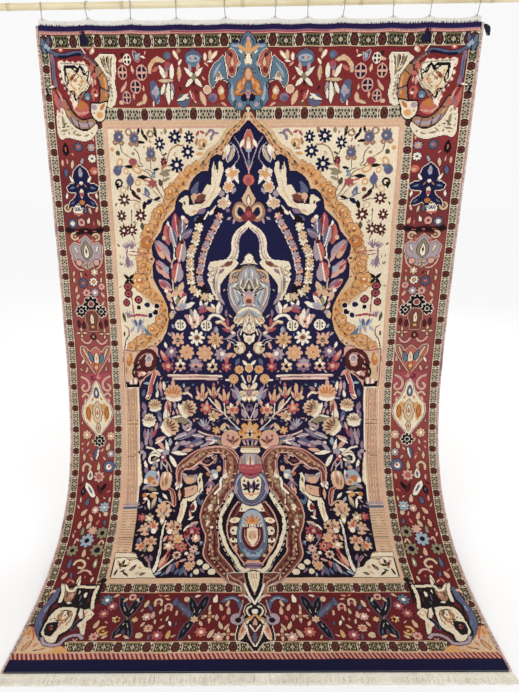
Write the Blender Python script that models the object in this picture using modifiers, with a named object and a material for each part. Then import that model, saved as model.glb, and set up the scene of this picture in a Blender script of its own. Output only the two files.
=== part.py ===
"""Persian rug hanging from a slim bamboo rod, its lower end lying on the floor.

Metres, +Z up. The rug faces -Y and the floor is z = 0. The rug hangs from the
rod by a row of wire hooks, bends forward near the floor and lies flat there.
The origin is at floor level, in the middle of the whole object's box.
"""

import math
import random

import bpy
from mathutils import Vector

# ---- Driving dimensions -------------------------------------------------
RUG_WIDTH = 1.30            # over the side bindings
RUG_LENGTH = 2.10           # pile along the rug, end stripe to end stripe
PILE_THICKNESS = 0.009      # foundation and wool pile together
PART_GAP = 0.0003           # between neighbouring pieces

BEND_MIDDLE = 1.555         # run from the upper end to the 45 degree point
BEND_SOFTNESS = 0.165       # larger bends more slowly
FLAT_FROM = 1.99            # run from which the rug lies flat on the floor
RISE_PER_METRE = 0.021      # the rug hangs askew, its +X side higher
DRIFT_START = 1.10
LOWER_END_DRIFT = 0.025     # the lying end is shifted this far toward +X
WAVE_DEPTH = 0.005          # soft waves across the hanging part
WAVE_RUN = 1.75             # run over which those waves rise and die out
SCALLOP_DEPTH = 0.003       # how far the upper end dips between two hooks
SCALLOP_FADE = 0.15         # run over which the dips fade out

SELVEDGE_DIAMETER = 0.009

WEB_HEIGHT = 0.015          # pale end web between two hooks
WEB_PEAK = 0.005            # extra height where a hook pulls it up
WEB_PEAK_REACH = 0.022      # half width of such a peak
WEB_THICKNESS = 0.0022
WEB_BACK_OFFSET = 0.003     # web's middle plane in front of the rug's back
HOLE_RADIUS = 0.003
HOLE_SIDES = 10

ROD_LENGTH = 1.60
ROD_RADIUS = 0.0095
ROD_KNOT_RADIUS = 0.0104    # swelling at a bamboo knot
ROD_KNOT_HALF_LENGTH = 0.004
ROD_RISE_PER_METRE = 0.028  # the rod's +X end is higher too

WIRE_RADIUS = 0.0011
HOOK_TOP_RADIUS = 0.0125    # wire centre line round the rod
HOOK_FOOT_RADIUS = 0.004    # wire centre line through the web
HOOK_DROP = 0.0245          # rod's underside to the web's upper edge, at x = 0
HOOK_TAIL = 0.0075          # straight wire behind the rod, below the bend
HOOK_NECK_OFFSET = 0.0106   # how far in front of the rod's axis the front leg starts
HOOK_FOOT_OFFSET = 0.0044   # how far behind the rod's axis the wire's end lies
HOOK_FOOT_LIFT = 0.0032     # how far above the foot's centre the wire's end lies

FRINGE_LENGTH = 0.032
FRINGE_STRIP = 0.004        # narrow strip that holds the roots
FRINGE_HEIGHT = 0.004
FRINGE_LOCKS = 132
FRINGE_SPLAY = 0.010        # the outer locks reach this far past the rug
LOCK_ROOT = 0.88            # width of a lock at its root, as a share of its pitch
LOCK_TIP = 0.52             # the same at its tip
LOCK_LEAN = 0.0012          # most that a lock leans to one side
LOCK_LENGTHS = (0.80, 0.99)     # shortest and longest lock, shares of the longest
LOCK_SLANTS = (0.93, 1.0)       # cut of the tip, shares of the lock's own length

TUFT_RADIUS = 0.0055
TUFT_DEPTH = 0.006          # below the pile's upper end

COLUMNS_PER_BAY = 3         # rug columns between two hooks
NARROW_BAY = 0.03           # a bay up to this wide is one column
RUG_ROWS = 44
PROFILE_STEP = 0.004        # step of the profile's integration
PROFILE_MARGIN = 0.04       # the profile goes on this far past both ends

# ---- Tables --------------------------------------------------------------
# Each hook: x along the rod, and how far it is turned about the vertical.
HOOKS = [
    # x (m), turn (degrees)
    (-0.629, 14.0),
    (-0.496, -12.0),
    (-0.373, 18.0),
    (-0.240, 6.0),
    (-0.097, -16.0),
    (0.045, 10.0),
    (0.140, -8.0),
    (0.240, 17.0),
    (0.386, -18.0),
    (0.490, 4.0),
    (0.626, 12.0),
]

# Soft waves across the rug: half waves in its width, share of the depth.
WAVES = [
    (3, 0.6),
    (5, 0.4),
]

# Loose yarn at the upper right corner, from the rug's edge (m; thickness is a
# share of TUFT_RADIUS).
TUFT_PATH = [
    # out, forward, down, thickness
    (0.0000, 0.000, 0.000, 0.50),
    (0.0030, 0.000, 0.000, 0.75),
    (0.0090, 0.002, 0.007, 1.10),
    (0.0125, 0.002, 0.017, 1.05),
    (0.0150, 0.001, 0.025, 0.85),
    (0.0160, 0.000, 0.031, 0.35),
]

# Bamboo knots: place along the rod from its middle.
ROD_KNOTS = [-0.722, -0.395, -0.048, 0.291, 0.664]

# Each material: colour, roughness, metallic.
MATERIALS = {
    "wool_pile": ((0.30, 0.06, 0.07), 0.95, 0.0),
    "selvedge_wool": ((0.42, 0.28, 0.33), 0.95, 0.0),
    "cotton_web": ((0.80, 0.78, 0.72), 0.95, 0.0),
    "cotton_fringe": ((0.78, 0.72, 0.60), 0.95, 0.0),
    "navy_yarn": ((0.03, 0.03, 0.07), 0.95, 0.0),
    "bamboo": ((0.80, 0.70, 0.45), 0.45, 0.0),
    "hook_wire": ((0.55, 0.55, 0.56), 0.35, 1.0),
}


# ---- The cloth's form ----------------------------------------------------
def bend_share(run):
    """Share of the full bend that is made at this run: 0 hanging, 1 lying."""
    return 1 / (1 + math.exp((BEND_MIDDLE - run) / BEND_SOFTNESS))


def bend_angle(run):
    """Angle between the rug and the vertical at this run, 0 to 90 degrees."""
    return math.radians(90.0) * min(bend_share(run) / bend_share(FLAT_FROM), 1.0)


def profile_table():
    """(forward reach, height) of the rug's back at every step of its run."""
    steps = round((RUG_LENGTH + 2 * PROFILE_MARGIN) / PROFILE_STEP)
    reach, fall = 0.0, 0.0
    table = [(reach, fall)]
    for step in range(steps):
        angle = bend_angle((step + 0.5) * PROFILE_STEP - PROFILE_MARGIN)
        reach += PROFILE_STEP * math.sin(angle)
        fall += PROFILE_STEP * math.cos(angle)
        table.append((reach, fall))
    floor = table[-1][1]
    return [(forward, floor - down) for forward, down in table]


PROFILE = profile_table()


def profile_point(run):
    """Forward reach and height of the rug's back at this run."""
    place = (run + PROFILE_MARGIN) / PROFILE_STEP
    step = min(int(place), len(PROFILE) - 2)
    t = place - step
    (reach_a, height_a), (reach_b, height_b) = PROFILE[step], PROFILE[step + 1]
    return reach_a + (reach_b - reach_a) * t, height_a + (height_b - height_a) * t


HANG_HEIGHT = profile_point(0.0)[1]
REACH = profile_point(RUG_LENGTH)[0]

PILE_WIDTH = RUG_WIDTH - 2 * (SELVEDGE_DIAMETER + PART_GAP)
ROD_Y = -WEB_BACK_OFFSET
BACK_LIMIT = ROD_Y + HOOK_TOP_RADIUS + WIRE_RADIUS
FRONT_LIMIT = -(REACH + RISE_PER_METRE * RUG_WIDTH / 2 + FRINGE_STRIP + FRINGE_LENGTH)
RUG_BACK_Y = -(BACK_LIMIT + FRONT_LIMIT) / 2    # centres the whole object on y = 0

# A hook's foot passes through its hole, and the hole's upper edge rests on it.
WEB_PEAK_HEIGHT = HANG_HEIGHT + WEB_HEIGHT + WEB_PEAK
FOOT_CENTRE_DEPTH = 0.0005      # foot's centre below the web's peak
HOLE_DEPTH = FOOT_CENTRE_DEPTH + HOOK_FOOT_RADIUS - WIRE_RADIUS - PART_GAP + HOLE_RADIUS


def sheet_columns():
    """x of every column of the sheet, with one at each hook."""
    half = PILE_WIDTH / 2
    stops = [-half] + [x for x, _ in HOOKS] + [half]
    columns = []
    for left, right in zip(stops, stops[1:]):
        bay = COLUMNS_PER_BAY if right - left > NARROW_BAY else 1
        columns += [left + (right - left) * i / bay for i in range(bay)]
    return columns + [half]


def scallop(x):
    """Dip of the upper end at this x: none at a hook, deepest between two."""
    for (left, _), (right, _) in zip(HOOKS, HOOKS[1:]):
        if left < x < right:
            t = (x - left) / (right - left)
            return SCALLOP_DEPTH * 4 * t * (1 - t)
    return 0.0


def drift(run):
    """Sideways shift of the rug toward +X as it comes to lie on the floor."""
    t = min(max((run - DRIFT_START) / (RUG_LENGTH - DRIFT_START), 0.0), 1.0)
    return LOWER_END_DRIFT * t * t * (3 - 2 * t)


def wave(x, run):
    """How far the rug stands forward of its plain profile."""
    if run >= WAVE_RUN:
        return 0.0
    swell = math.sin(math.pi * run / WAVE_RUN) ** 2
    across = math.pi * (x / PILE_WIDTH + 0.5)
    mix = sum(share * math.cos(count * across) for count, share in WAVES)
    return WAVE_DEPTH * swell * mix


def back_point(x, run):
    """Point on the rug's back, x across and run down the sheet."""
    reach, height = profile_point(run - RISE_PER_METRE * x)
    angle = bend_angle(run - RISE_PER_METRE * x)
    forward = wave(x, run)
    fade = max(1 - run / SCALLOP_FADE, 0.0) ** 2
    return Vector((
        x + drift(run),
        RUG_BACK_Y - reach - forward * math.cos(angle),
        height + forward * math.sin(angle) - scallop(x) * fade,
    ))


def pile_direction(x, run):
    """Direction out of the pile at this point of the sheet."""
    angle = bend_angle(run - RISE_PER_METRE * x)
    return Vector((0.0, -math.cos(angle), math.sin(angle)))


# ---- Blender helpers -------------------------------------------------------
def clear_objects():
    for obj in list(bpy.data.objects):
        bpy.data.objects.remove(obj, do_unlink=True)


def make_material(name):
    colour, roughness, metallic = MATERIALS[name]
    material = bpy.data.materials.new(name)
    material.use_nodes = True
    shader = material.node_tree.nodes["Principled BSDF"]
    shader.inputs["Base Color"].default_value = (*colour, 1.0)
    shader.inputs["Roughness"].default_value = roughness
    shader.inputs["Metallic"].default_value = metallic
    return material


def add_to_part(obj, name, material):
    """Name the object, give it its material and put it in the part's collection."""
    obj.name = name
    obj.data.name = name
    obj.data.materials.clear()
    obj.data.materials.append(material)
    for collection in list(obj.users_collection):
        collection.objects.unlink(obj)
    part_collection.objects.link(obj)
    return obj


def wire_object(name, points, radius, resolution, material, thickness=None):
    """A tube along the points; thickness scales its radius at each of them."""
    curve = bpy.data.curves.new(name, "CURVE")
    curve.dimensions = "3D"
    curve.bevel_depth = radius
    curve.bevel_resolution = resolution
    curve.use_fill_caps = True
    spline = curve.splines.new("POLY")
    spline.points.add(len(points) - 1)
    for index, point in enumerate(points):
        spline.points[index].co = (*point, 1.0)
        spline.points[index].radius = thickness[index] if thickness else 1.0
    return add_to_part(bpy.data.objects.new(name, curve), name, material)


def flat_object(name, outlines, thickness, material):
    """A flat piece of the outline, and the holes listed after it, in its own XY."""
    curve = bpy.data.curves.new(name, "CURVE")
    curve.dimensions = "2D"
    curve.fill_mode = "BOTH"
    curve.extrude = thickness / 2
    for outline in outlines:
        spline = curve.splines.new("POLY")
        spline.points.add(len(outline) - 1)
        for point, (u, v) in zip(spline.points, outline):
            point.co = (u, v, 0.0, 1.0)
        spline.use_cyclic_u = True
    return add_to_part(bpy.data.objects.new(name, curve), name, material)


# ---- The pieces ------------------------------------------------------------
def build_rug(material):
    columns = sheet_columns()
    bpy.ops.mesh.primitive_grid_add(
        x_subdivisions=len(columns) - 1, y_subdivisions=RUG_ROWS, size=2.0
    )
    rug = bpy.context.object
    for vertex in rug.data.vertices:
        column = round((vertex.co.x + 1) / 2 * (len(columns) - 1))
        row = round((1 - vertex.co.y) / 2 * RUG_ROWS)
        vertex.co = back_point(columns[column], RUG_LENGTH * row / RUG_ROWS)
    thickness = rug.modifiers.new("pile", "SOLIDIFY")
    thickness.thickness = PILE_THICKNESS
    thickness.offset = 1.0
    rug.data.shade_smooth()
    return add_to_part(rug, "rug", material)


def build_selvedge(name, side, material):
    """Overcast cord along one long side; side is -1 at -X and 1 at +X."""
    rug_edge = side * PILE_WIDTH / 2
    out = side * (PART_GAP + SELVEDGE_DIAMETER / 2)
    points = []
    for row in range(RUG_ROWS + 1):
        run = RUG_LENGTH * row / RUG_ROWS
        middle = pile_direction(rug_edge, run) * (PILE_THICKNESS / 2)
        points.append(back_point(rug_edge, run) + middle + Vector((out, 0.0, 0.0)))
    return wire_object(name, points, SELVEDGE_DIAMETER / 2, 1, material)


def upper_end(x):
    """Height of the pile's upper end over its height at x = 0."""
    return RISE_PER_METRE * x - scallop(x)


def web_top(x):
    """Height of the web's upper edge over the pile's upper end."""
    lift = 0.0
    for hook_x, _ in HOOKS:
        near = 1 - abs(x - hook_x) / WEB_PEAK_REACH
        if near > 0:
            lift = max(lift, WEB_PEAK * near * near * (3 - 2 * near))
    return WEB_HEIGHT + lift


def build_top_web(material):
    columns = sheet_columns()
    lower = [(x, upper_end(x) + PART_GAP) for x in columns]
    half = PILE_WIDTH / 2
    peak_steps = [-1.0, -0.6, -0.3, 0.3, 0.6, 1.0]
    stops = set(columns)
    for hook_x, _ in HOOKS:
        stops.update(hook_x + WEB_PEAK_REACH * step for step in peak_steps)
    stops = sorted(x for x in stops if -half <= x <= half)
    upper = [(x, upper_end(x) + web_top(x)) for x in reversed(stops)]
    outlines = [lower + upper]
    for hook_x, _ in HOOKS:
        centre = upper_end(hook_x) + WEB_HEIGHT + WEB_PEAK - HOLE_DEPTH
        turns = [math.tau * step / HOLE_SIDES for step in range(HOLE_SIDES)]
        outlines.append([
            (hook_x + HOLE_RADIUS * math.cos(turn), centre + HOLE_RADIUS * math.sin(turn))
            for turn in turns
        ])
    web = flat_object("top_web", outlines, WEB_THICKNESS, material)
    web.rotation_euler = (math.radians(90.0), 0.0, 0.0)
    web.location = (0.0, RUG_BACK_Y + ROD_Y, HANG_HEIGHT)
    return web


def rod_centre(x):
    """Height of the rod's axis at this x."""
    return WEB_PEAK_HEIGHT + HOOK_DROP + ROD_RADIUS + ROD_RISE_PER_METRE * x


def build_hook(index, x, turn, material):
    """Wire bent over the rod, down in front of it and through the web."""
    top = rod_centre(x) + ROD_RADIUS + PART_GAP + WIRE_RADIUS - HOOK_TOP_RADIUS
    foot = WEB_PEAK_HEIGHT - FOOT_CENTRE_DEPTH + RISE_PER_METRE * x
    path = [(HOOK_TOP_RADIUS, top - HOOK_TAIL)]
    for step in range(9):
        angle = math.pi * step / 8
        path.append((
            HOOK_TOP_RADIUS * math.cos(angle),
            top + HOOK_TOP_RADIUS * math.sin(angle),
        ))
    path.append((-HOOK_NECK_OFFSET, top - HOOK_TOP_RADIUS))
    for step in range(7):
        angle = math.pi * (1 + step / 6)
        path.append((
            HOOK_FOOT_RADIUS * math.cos(angle),
            foot + HOOK_FOOT_RADIUS * math.sin(angle),
        ))
    path.append((HOOK_FOOT_OFFSET, foot + HOOK_FOOT_LIFT))
    hook = wire_object(
        f"hook_{index:02d}", [(0.0, y, z) for y, z in path], WIRE_RADIUS, 1, material
    )
    hook.rotation_euler = (0.0, 0.0, math.radians(turn))
    hook.location = (x, RUG_BACK_Y + ROD_Y, 0.0)
    return hook


def build_rod(material):
    """Bamboo rod: a turned profile with a swelling at each knot."""
    knot = ROD_KNOT_HALF_LENGTH
    half = ROD_LENGTH / 2
    outer = [(ROD_RADIUS, half)]
    for place in sorted(ROD_KNOTS, reverse=True):
        outer += [
            (ROD_RADIUS, place + 2 * knot),
            (ROD_KNOT_RADIUS, place + knot),
            (ROD_RADIUS * 0.985, place),
            (ROD_KNOT_RADIUS, place - knot),
            (ROD_RADIUS, place - 2 * knot),
        ]
    outer.append((ROD_RADIUS, -half))
    profile = [(0.0, half)] + outer + [(0.0, -half)]
    mesh = bpy.data.meshes.new("rod")
    mesh.from_pydata(
        [(radius, 0.0, along) for radius, along in profile],
        [(i, i + 1) for i in range(len(profile) - 1)],
        [],
    )
    rod = add_to_part(bpy.data.objects.new("rod", mesh), "rod", material)
    turn = rod.modifiers.new("turn", "SCREW")
    turn.steps = 20
    turn.render_steps = 20
    turn.use_merge_vertices = True
    turn.merge_threshold = 0.0001
    rise = math.atan(ROD_RISE_PER_METRE)
    rod.rotation_euler = (0.0, math.radians(90.0) - rise, 0.0)
    rod.location = (0.0, RUG_BACK_Y + ROD_Y, rod_centre(0.0))
    return rod


def build_fringe(material):
    """Comb of short locks whose roots are one narrow strip; it lies on the floor."""
    dice = random.Random(11)
    half = RUG_WIDTH / 2
    pitch = RUG_WIDTH / FRINGE_LOCKS
    outline = [(-half, FRINGE_STRIP), (half, FRINGE_STRIP)]
    for lock in range(FRINGE_LOCKS):
        middle = half - (lock + 0.5) * pitch
        splay = FRINGE_SPLAY * (middle / half) ** 9
        lean = splay + dice.uniform(-LOCK_LEAN, LOCK_LEAN)
        length = FRINGE_LENGTH * dice.uniform(*LOCK_LENGTHS)
        if lock == FRINGE_LOCKS // 3:
            length = FRINGE_LENGTH
        root = pitch * LOCK_ROOT / 2
        tip = pitch * LOCK_TIP / 2
        outline += [
            (middle + root, 0.0),
            (middle + lean + tip, -length),
            (middle + lean - tip, -length * dice.uniform(*LOCK_SLANTS)),
            (middle - root, 0.0),
        ]
    fringe = flat_object("fringe_bottom", [outline], FRINGE_HEIGHT, material)
    fringe.location = (
        drift(RUG_LENGTH),
        RUG_BACK_Y - REACH - PART_GAP - FRINGE_STRIP,
        FRINGE_HEIGHT / 2,
    )
    fringe.rotation_euler = (0.0, 0.0, math.atan(RISE_PER_METRE))
    return fringe


def build_corner_tuft(material):
    """Loose end of navy yarn hanging outward at the upper right corner."""
    edge = RUG_WIDTH / 2 + PART_GAP
    height = HANG_HEIGHT + upper_end(edge) - TUFT_DEPTH
    start = Vector((edge, RUG_BACK_Y - PILE_THICKNESS / 2, height))
    points = [
        start + Vector((out, -forward, -down)) for out, forward, down, _ in TUFT_PATH
    ]
    thickness = [row[3] for row in TUFT_PATH]
    return wire_object("corner_tuft", points, TUFT_RADIUS, 1, material, thickness)


def build_part():
    looks = {name: make_material(name) for name in MATERIALS}
    build_rug(looks["wool_pile"])
    build_selvedge("selvedge_left", -1, looks["selvedge_wool"])
    build_selvedge("selvedge_right", 1, looks["selvedge_wool"])
    build_top_web(looks["cotton_web"])
    for index, (x, turn) in enumerate(HOOKS, start=1):
        build_hook(index, x, turn, looks["hook_wire"])
    build_rod(looks["bamboo"])
    build_fringe(looks["cotton_fringe"])
    build_corner_tuft(looks["navy_yarn"])


clear_objects()
part_collection = bpy.data.collections.new("persian_rug")
bpy.context.scene.collection.children.link(part_collection)
build_part()
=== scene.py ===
import math

import bpy
import numpy as np
from mathutils import Euler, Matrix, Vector


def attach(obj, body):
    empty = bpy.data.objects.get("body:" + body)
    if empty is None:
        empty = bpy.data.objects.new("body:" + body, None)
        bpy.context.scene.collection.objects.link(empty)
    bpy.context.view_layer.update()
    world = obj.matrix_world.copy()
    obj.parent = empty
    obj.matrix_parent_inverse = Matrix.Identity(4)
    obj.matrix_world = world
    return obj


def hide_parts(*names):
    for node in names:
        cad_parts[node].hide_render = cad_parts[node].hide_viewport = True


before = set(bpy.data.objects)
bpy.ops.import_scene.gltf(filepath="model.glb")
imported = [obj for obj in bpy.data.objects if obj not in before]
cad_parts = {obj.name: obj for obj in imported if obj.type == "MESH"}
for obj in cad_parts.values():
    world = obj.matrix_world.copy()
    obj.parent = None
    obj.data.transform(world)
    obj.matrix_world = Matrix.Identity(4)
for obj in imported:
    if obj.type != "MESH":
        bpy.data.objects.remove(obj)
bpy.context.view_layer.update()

dice = np.random.default_rng(7)

# ---- Sizes, metres, as in the CAD model -------------------------------------
RUG_WIDTH = 1.30
RUG_LENGTH = 2.10
PILE_THICKNESS = 0.009
PART_GAP = 0.0003
BEND_MIDDLE = 1.555
BEND_SOFTNESS = 0.165
FLAT_FROM = 1.99
RISE_PER_METRE = 0.021
DRIFT_START = 1.10
LOWER_END_DRIFT = 0.025
WAVE_DEPTH = 0.005
WAVE_RUN = 1.75
SCALLOP_DEPTH = 0.003
SCALLOP_FADE = 0.15
SELVEDGE_DIAMETER = 0.009
WEB_HEIGHT = 0.015
WEB_PEAK = 0.005
WEB_PEAK_REACH = 0.022
WEB_THICKNESS = 0.0022
WEB_BACK_OFFSET = 0.003
ROD_LENGTH = 1.60
ROD_RADIUS = 0.0095
ROD_RISE_PER_METRE = 0.028
WIRE_RADIUS = 0.0011
HOOK_TOP_RADIUS = 0.0125
HOOK_FOOT_RADIUS = 0.004
HOOK_DROP = 0.0245
HOOK_TAIL = 0.0075
HOOK_NECK_OFFSET = 0.0106
HOOK_FOOT_OFFSET = 0.0044
HOOK_FOOT_LIFT = 0.0032
FOOT_CENTRE_DEPTH = 0.0005
FRINGE_LENGTH = 0.032
FRINGE_STRIP = 0.004
FRINGE_HEIGHT = 0.004
FRINGE_SPLAY = 0.010
TUFT_RADIUS = 0.0055
TUFT_DEPTH = 0.006
PROFILE_STEP = 0.004
PROFILE_MARGIN = 0.04

PILE_WIDTH = RUG_WIDTH - 2 * (SELVEDGE_DIAMETER + PART_GAP)
HALF_WIDTH = PILE_WIDTH / 2

# Each hook: x along the rod, and how far it is turned about the vertical, degrees.
HOOKS = [
    (-0.629, 14), (-0.496, -12), (-0.373, 18), (-0.240, 6), (-0.097, -16), (0.045, 10),
    (0.140, -8), (0.240, 17), (0.386, -18), (0.490, 4), (0.626, 12),
]
ROD_KNOTS = [-0.722, -0.395, -0.048, 0.291, 0.664]
WAVES = [(3, 0.6), (5, 0.4)]    # half waves across the rug, share of the depth
# Loose yarn at the upper right corner: out, forward, down, thickness.
TUFT_PATH = [
    (0.0, 0.0, 0.0, 0.50), (0.003, 0.0, 0.0, 0.75), (0.009, 0.002, 0.007, 1.10),
    (0.0125, 0.002, 0.017, 1.05), (0.015, 0.001, 0.025, 0.85), (0.016, 0.0, 0.031, 0.35),
]


# ---- The cloth's form, as in the CAD model ----------------------------------
def bend_share(run):
    return 1 / (1 + np.exp((BEND_MIDDLE - run) / BEND_SOFTNESS))


def bend_angle(run):
    return math.pi / 2 * np.minimum(bend_share(run) / bend_share(FLAT_FROM), 1.0)


def profile_tables():
    """Runs, and the rug's forward reach and height at them."""
    steps = round((RUG_LENGTH + 2 * PROFILE_MARGIN) / PROFILE_STEP)
    runs = np.arange(steps + 1) * PROFILE_STEP - PROFILE_MARGIN
    angles = bend_angle(runs[:-1] + PROFILE_STEP / 2)
    reach = np.concatenate([[0], np.cumsum(PROFILE_STEP * np.sin(angles))])
    fall = np.concatenate([[0], np.cumsum(PROFILE_STEP * np.cos(angles))])
    return runs, reach, fall[-1] - fall


PROFILE = profile_tables()


def profile_point(run):
    return np.interp(run, PROFILE[0], PROFILE[1]), np.interp(run, PROFILE[0], PROFILE[2])


HANG_HEIGHT = float(profile_point(0.0)[1])
REACH = float(profile_point(RUG_LENGTH)[0])
ROD_Y = -WEB_BACK_OFFSET
BACK_LIMIT = ROD_Y + HOOK_TOP_RADIUS + WIRE_RADIUS
FRONT_LIMIT = -(REACH + RISE_PER_METRE * RUG_WIDTH / 2 + FRINGE_STRIP + FRINGE_LENGTH)
RUG_BACK_Y = -(BACK_LIMIT + FRONT_LIMIT) / 2
WEB_PEAK_HEIGHT = HANG_HEIGHT + WEB_HEIGHT + WEB_PEAK


def scallop(x):
    """Dip of the upper end between two hooks."""
    x = np.asarray(x, dtype=float)
    dip = np.zeros_like(x)
    for (left, _), (right, _) in zip(HOOKS, HOOKS[1:]):
        t = np.clip((x - left) / (right - left), 0, 1)
        dip += SCALLOP_DEPTH * 4 * t * (1 - t)
    return dip


def drift(run):
    t = np.clip((run - DRIFT_START) / (RUG_LENGTH - DRIFT_START), 0, 1)
    return LOWER_END_DRIFT * t * t * (3 - 2 * t)


def wave(x, run):
    swell = np.where(run < WAVE_RUN, np.sin(math.pi * run / WAVE_RUN) ** 2, 0)
    across = math.pi * (x / PILE_WIDTH + 0.5)
    return WAVE_DEPTH * swell * sum(s * np.cos(n * across) for n, s in WAVES)


def cloth_point(x, run, rise=0.0):
    """Point at x and run, this far out of the rug's back toward the pile side."""
    x, run = np.broadcast_arrays(np.asarray(x, float), np.asarray(run, float))
    slant = run - RISE_PER_METRE * x
    reach, height = profile_point(slant)
    angle = bend_angle(slant)
    forward = wave(x, run) + rise
    fade = np.maximum(1 - run / SCALLOP_FADE, 0.0) ** 2
    return np.stack([
        x + drift(run),
        RUG_BACK_Y - reach - forward * np.cos(angle),
        height + forward * np.sin(angle) - scallop(x) * fade,
    ], -1)


def cloth_normal(x, run):
    """Unit normal of the pile side."""
    step = 0.002
    along = cloth_point(x, run + step) - cloth_point(x, run - step)
    across = cloth_point(x + step, run) - cloth_point(x - step, run)
    normal = np.cross(along, across)
    return normal / np.linalg.norm(normal, axis=-1, keepdims=True)


def upper_end(x):
    return RISE_PER_METRE * x - scallop(x)


def web_top(x):
    """Height of the web's upper edge over the pile's upper end."""
    x = np.asarray(x, dtype=float)
    lift = np.zeros_like(x)
    for hook_x, _ in HOOKS:
        near = np.clip(1 - np.abs(x - hook_x) / WEB_PEAK_REACH, 0, 1)
        lift = np.maximum(lift, WEB_PEAK * near * near * (3 - 2 * near))
    return WEB_HEIGHT + lift


def rod_height(x):
    return WEB_PEAK_HEIGHT + HOOK_DROP + ROD_RADIUS + ROD_RISE_PER_METRE * x


# ---- Knotting the design ----------------------------------------------------
# The design is knotted on an even chart of the left half, which is then mirrored.
# Tables give places as u across from the rug's left edge and y down from its upper
# end, in mm, on the real rug, whose middle line wanders a little.
HALF_COLUMNS = 291
ROWS = 955
HALF = HALF_WIDTH * 1000        # mm
MIDDLE = RUG_WIDTH * 500        # mm, u of the middle line
LENGTH = RUG_LENGTH * 1000      # mm
KNOT = HALF / HALF_COLUMNS      # mm across
ROW = LENGTH / ROWS             # mm along
CENTRE_SHIFT = (-32.0, -7.0)    # of the middle line at the upper and lower end

# The dyes, sRGB, under the letters that stand for them in the tables.
PALETTE = {
    "N": (24, 24, 62),      # navy
    "K": (25, 18, 22),      # black brown
    "R": (128, 44, 48),     # madder red
    "S": (186, 102, 88),    # brick rose
    "M": (78, 33, 36),      # dark madder
    "B": (112, 66, 54),     # walnut
    "I": (226, 210, 182),   # ivory
    "W": (234, 222, 202),   # white wool
    "C": (208, 177, 144),   # sand
    "P": (207, 158, 143),   # pale pink
    "L": (168, 148, 155),   # lilac grey
    "V": (134, 107, 126),   # mauve
    "T": (88, 93, 118),     # slate blue
    "Z": (92, 115, 133),    # steel blue
    "Y": (156, 167, 176),   # sky grey
    "G": (208, 155, 100),   # gold
    "O": (186, 115, 62),    # orange
    "E": (140, 128, 101),   # grey green
    "D": (44, 38, 28),      # dark olive
    "A": (154, 117, 92),    # camel
    "H": (160, 76, 84),     # rose
    "X": (210, 166, 136),   # salmon
    "J": (170, 158, 130),   # stone, the ground of the guards
}
INKS = "".join(PALETTE)
chart = np.zeros((ROWS, HALF_COLUMNS), dtype=np.uint8)


def shift_at(y):
    """How far the middle line lies off to the side."""
    return CENTRE_SHIFT[0] + (CENTRE_SHIFT[1] - CENTRE_SHIFT[0]) * y / LENGTH


def even_x(u, y):
    """Distance from the middle line, on the even chart, of a place on the real rug."""
    bow = shift_at(y)
    a, c = -bow / HALF**2, bow - (u - MIDDLE)
    return (-1 + math.sqrt(1 - 4 * a * c)) / (2 * a)


def knots_near(u, y, reach):
    """A window of the chart round a place, and its knots' distances from it."""
    x = even_x(u, y)
    left = max(int((x + HALF - reach) / KNOT) - 1, 0)
    right = max(min(int((x + HALF + reach) / KNOT) + 2, HALF_COLUMNS), left)
    top = max(int((y - reach) / ROW) - 1, 0)
    bottom = max(min(int((y + reach) / ROW) + 2, ROWS), top)
    rows, columns = np.mgrid[top:bottom, left:right]
    window = (slice(top, bottom), slice(left, right))
    return window, (columns + 0.5) * KNOT - HALF - x, (rows + 0.5) * ROW - y


def grown(mask):
    wide = np.pad(mask, 1)
    return (wide[1:-1, 1:-1] | wide[:-2, 1:-1] | wide[2:, 1:-1]
            | wide[1:-1, :-2] | wide[1:-1, 2:])


def dye(window, mask, inks):
    """Knot the mask in the last ink, and round it one line for each ink before it."""
    layers = [mask]
    for _ in inks[1:]:
        layers.append(grown(layers[-1]))
    for layer, ink in zip(reversed(layers), inks):
        if ink != ".":
            chart[window][layer] = INKS.index(ink)


def oval(a, b, w, h):
    return (a / w) ** 2 + (b / h) ** 2 < 1


def leaf(a, b, w, h):
    return np.abs(a) < w * (1 - (b / h) ** 2)


def drop(a, b, w, h):
    """Pointed above, round below."""
    t = np.clip((b / h + 1) / 2, 0, 1)
    return (np.abs(b) < h) & (np.abs(a) < w * 1.6 * t ** 0.9 * np.sqrt(1 - t))


def star(a, b, w, h, count):
    """A flower of radius w, its gaps cut in as far as h of it."""
    turn = np.arctan2(a, -b)
    return np.hypot(a, b) < w * (1 - h * (0.5 - 0.5 * np.cos(count * turn)) ** 2.2)


def bar(a, b, w, h):
    return (np.abs(a) < w) & (np.abs(b) < h)


def hook(a, b, w, h):
    """Open ring, its gap above."""
    r = (a / w) ** 2 + (b / h) ** 2
    return (r < 1) & (r > 0.25) & ~((b < 0) & (np.abs(a) < 0.45 * w))


def ring(a, b, w, h):
    r = (a / w) ** 2 + (b / h) ** 2
    return (r < 1) & (r > 0.30)


SHAPES = {f.__name__: f for f in (oval, leaf, drop, star, bar, hook, ring)}


def motif(kind, inks, u, y, size, turn=0.0, squeeze=1.0):
    """Knot one motif of FORMS, whose digits count the inks; a lone ink has no outline."""
    inks = ("." + inks if len(inks) == 1 else inks) + "......"
    window, dx, dy = knots_near(u, y, size * 2.2)
    turn = math.radians(turn)
    across = (dx * math.cos(turn) + dy * math.sin(turn)) / (size * squeeze)
    down = (dy * math.cos(turn) - dx * math.sin(turn)) / size
    for shape, ink, px, py, w, h, lean, *more in FORMS[kind]:
        lean = math.radians(lean)
        a = (across - px) * math.cos(lean) + (down - py) * math.sin(lean)
        b = (down - py) * math.cos(lean) - (across - px) * math.sin(lean)
        dye(window, SHAPES[shape](a, b, w, h, *more), "".join(inks[int(c)] for c in ink))


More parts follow.
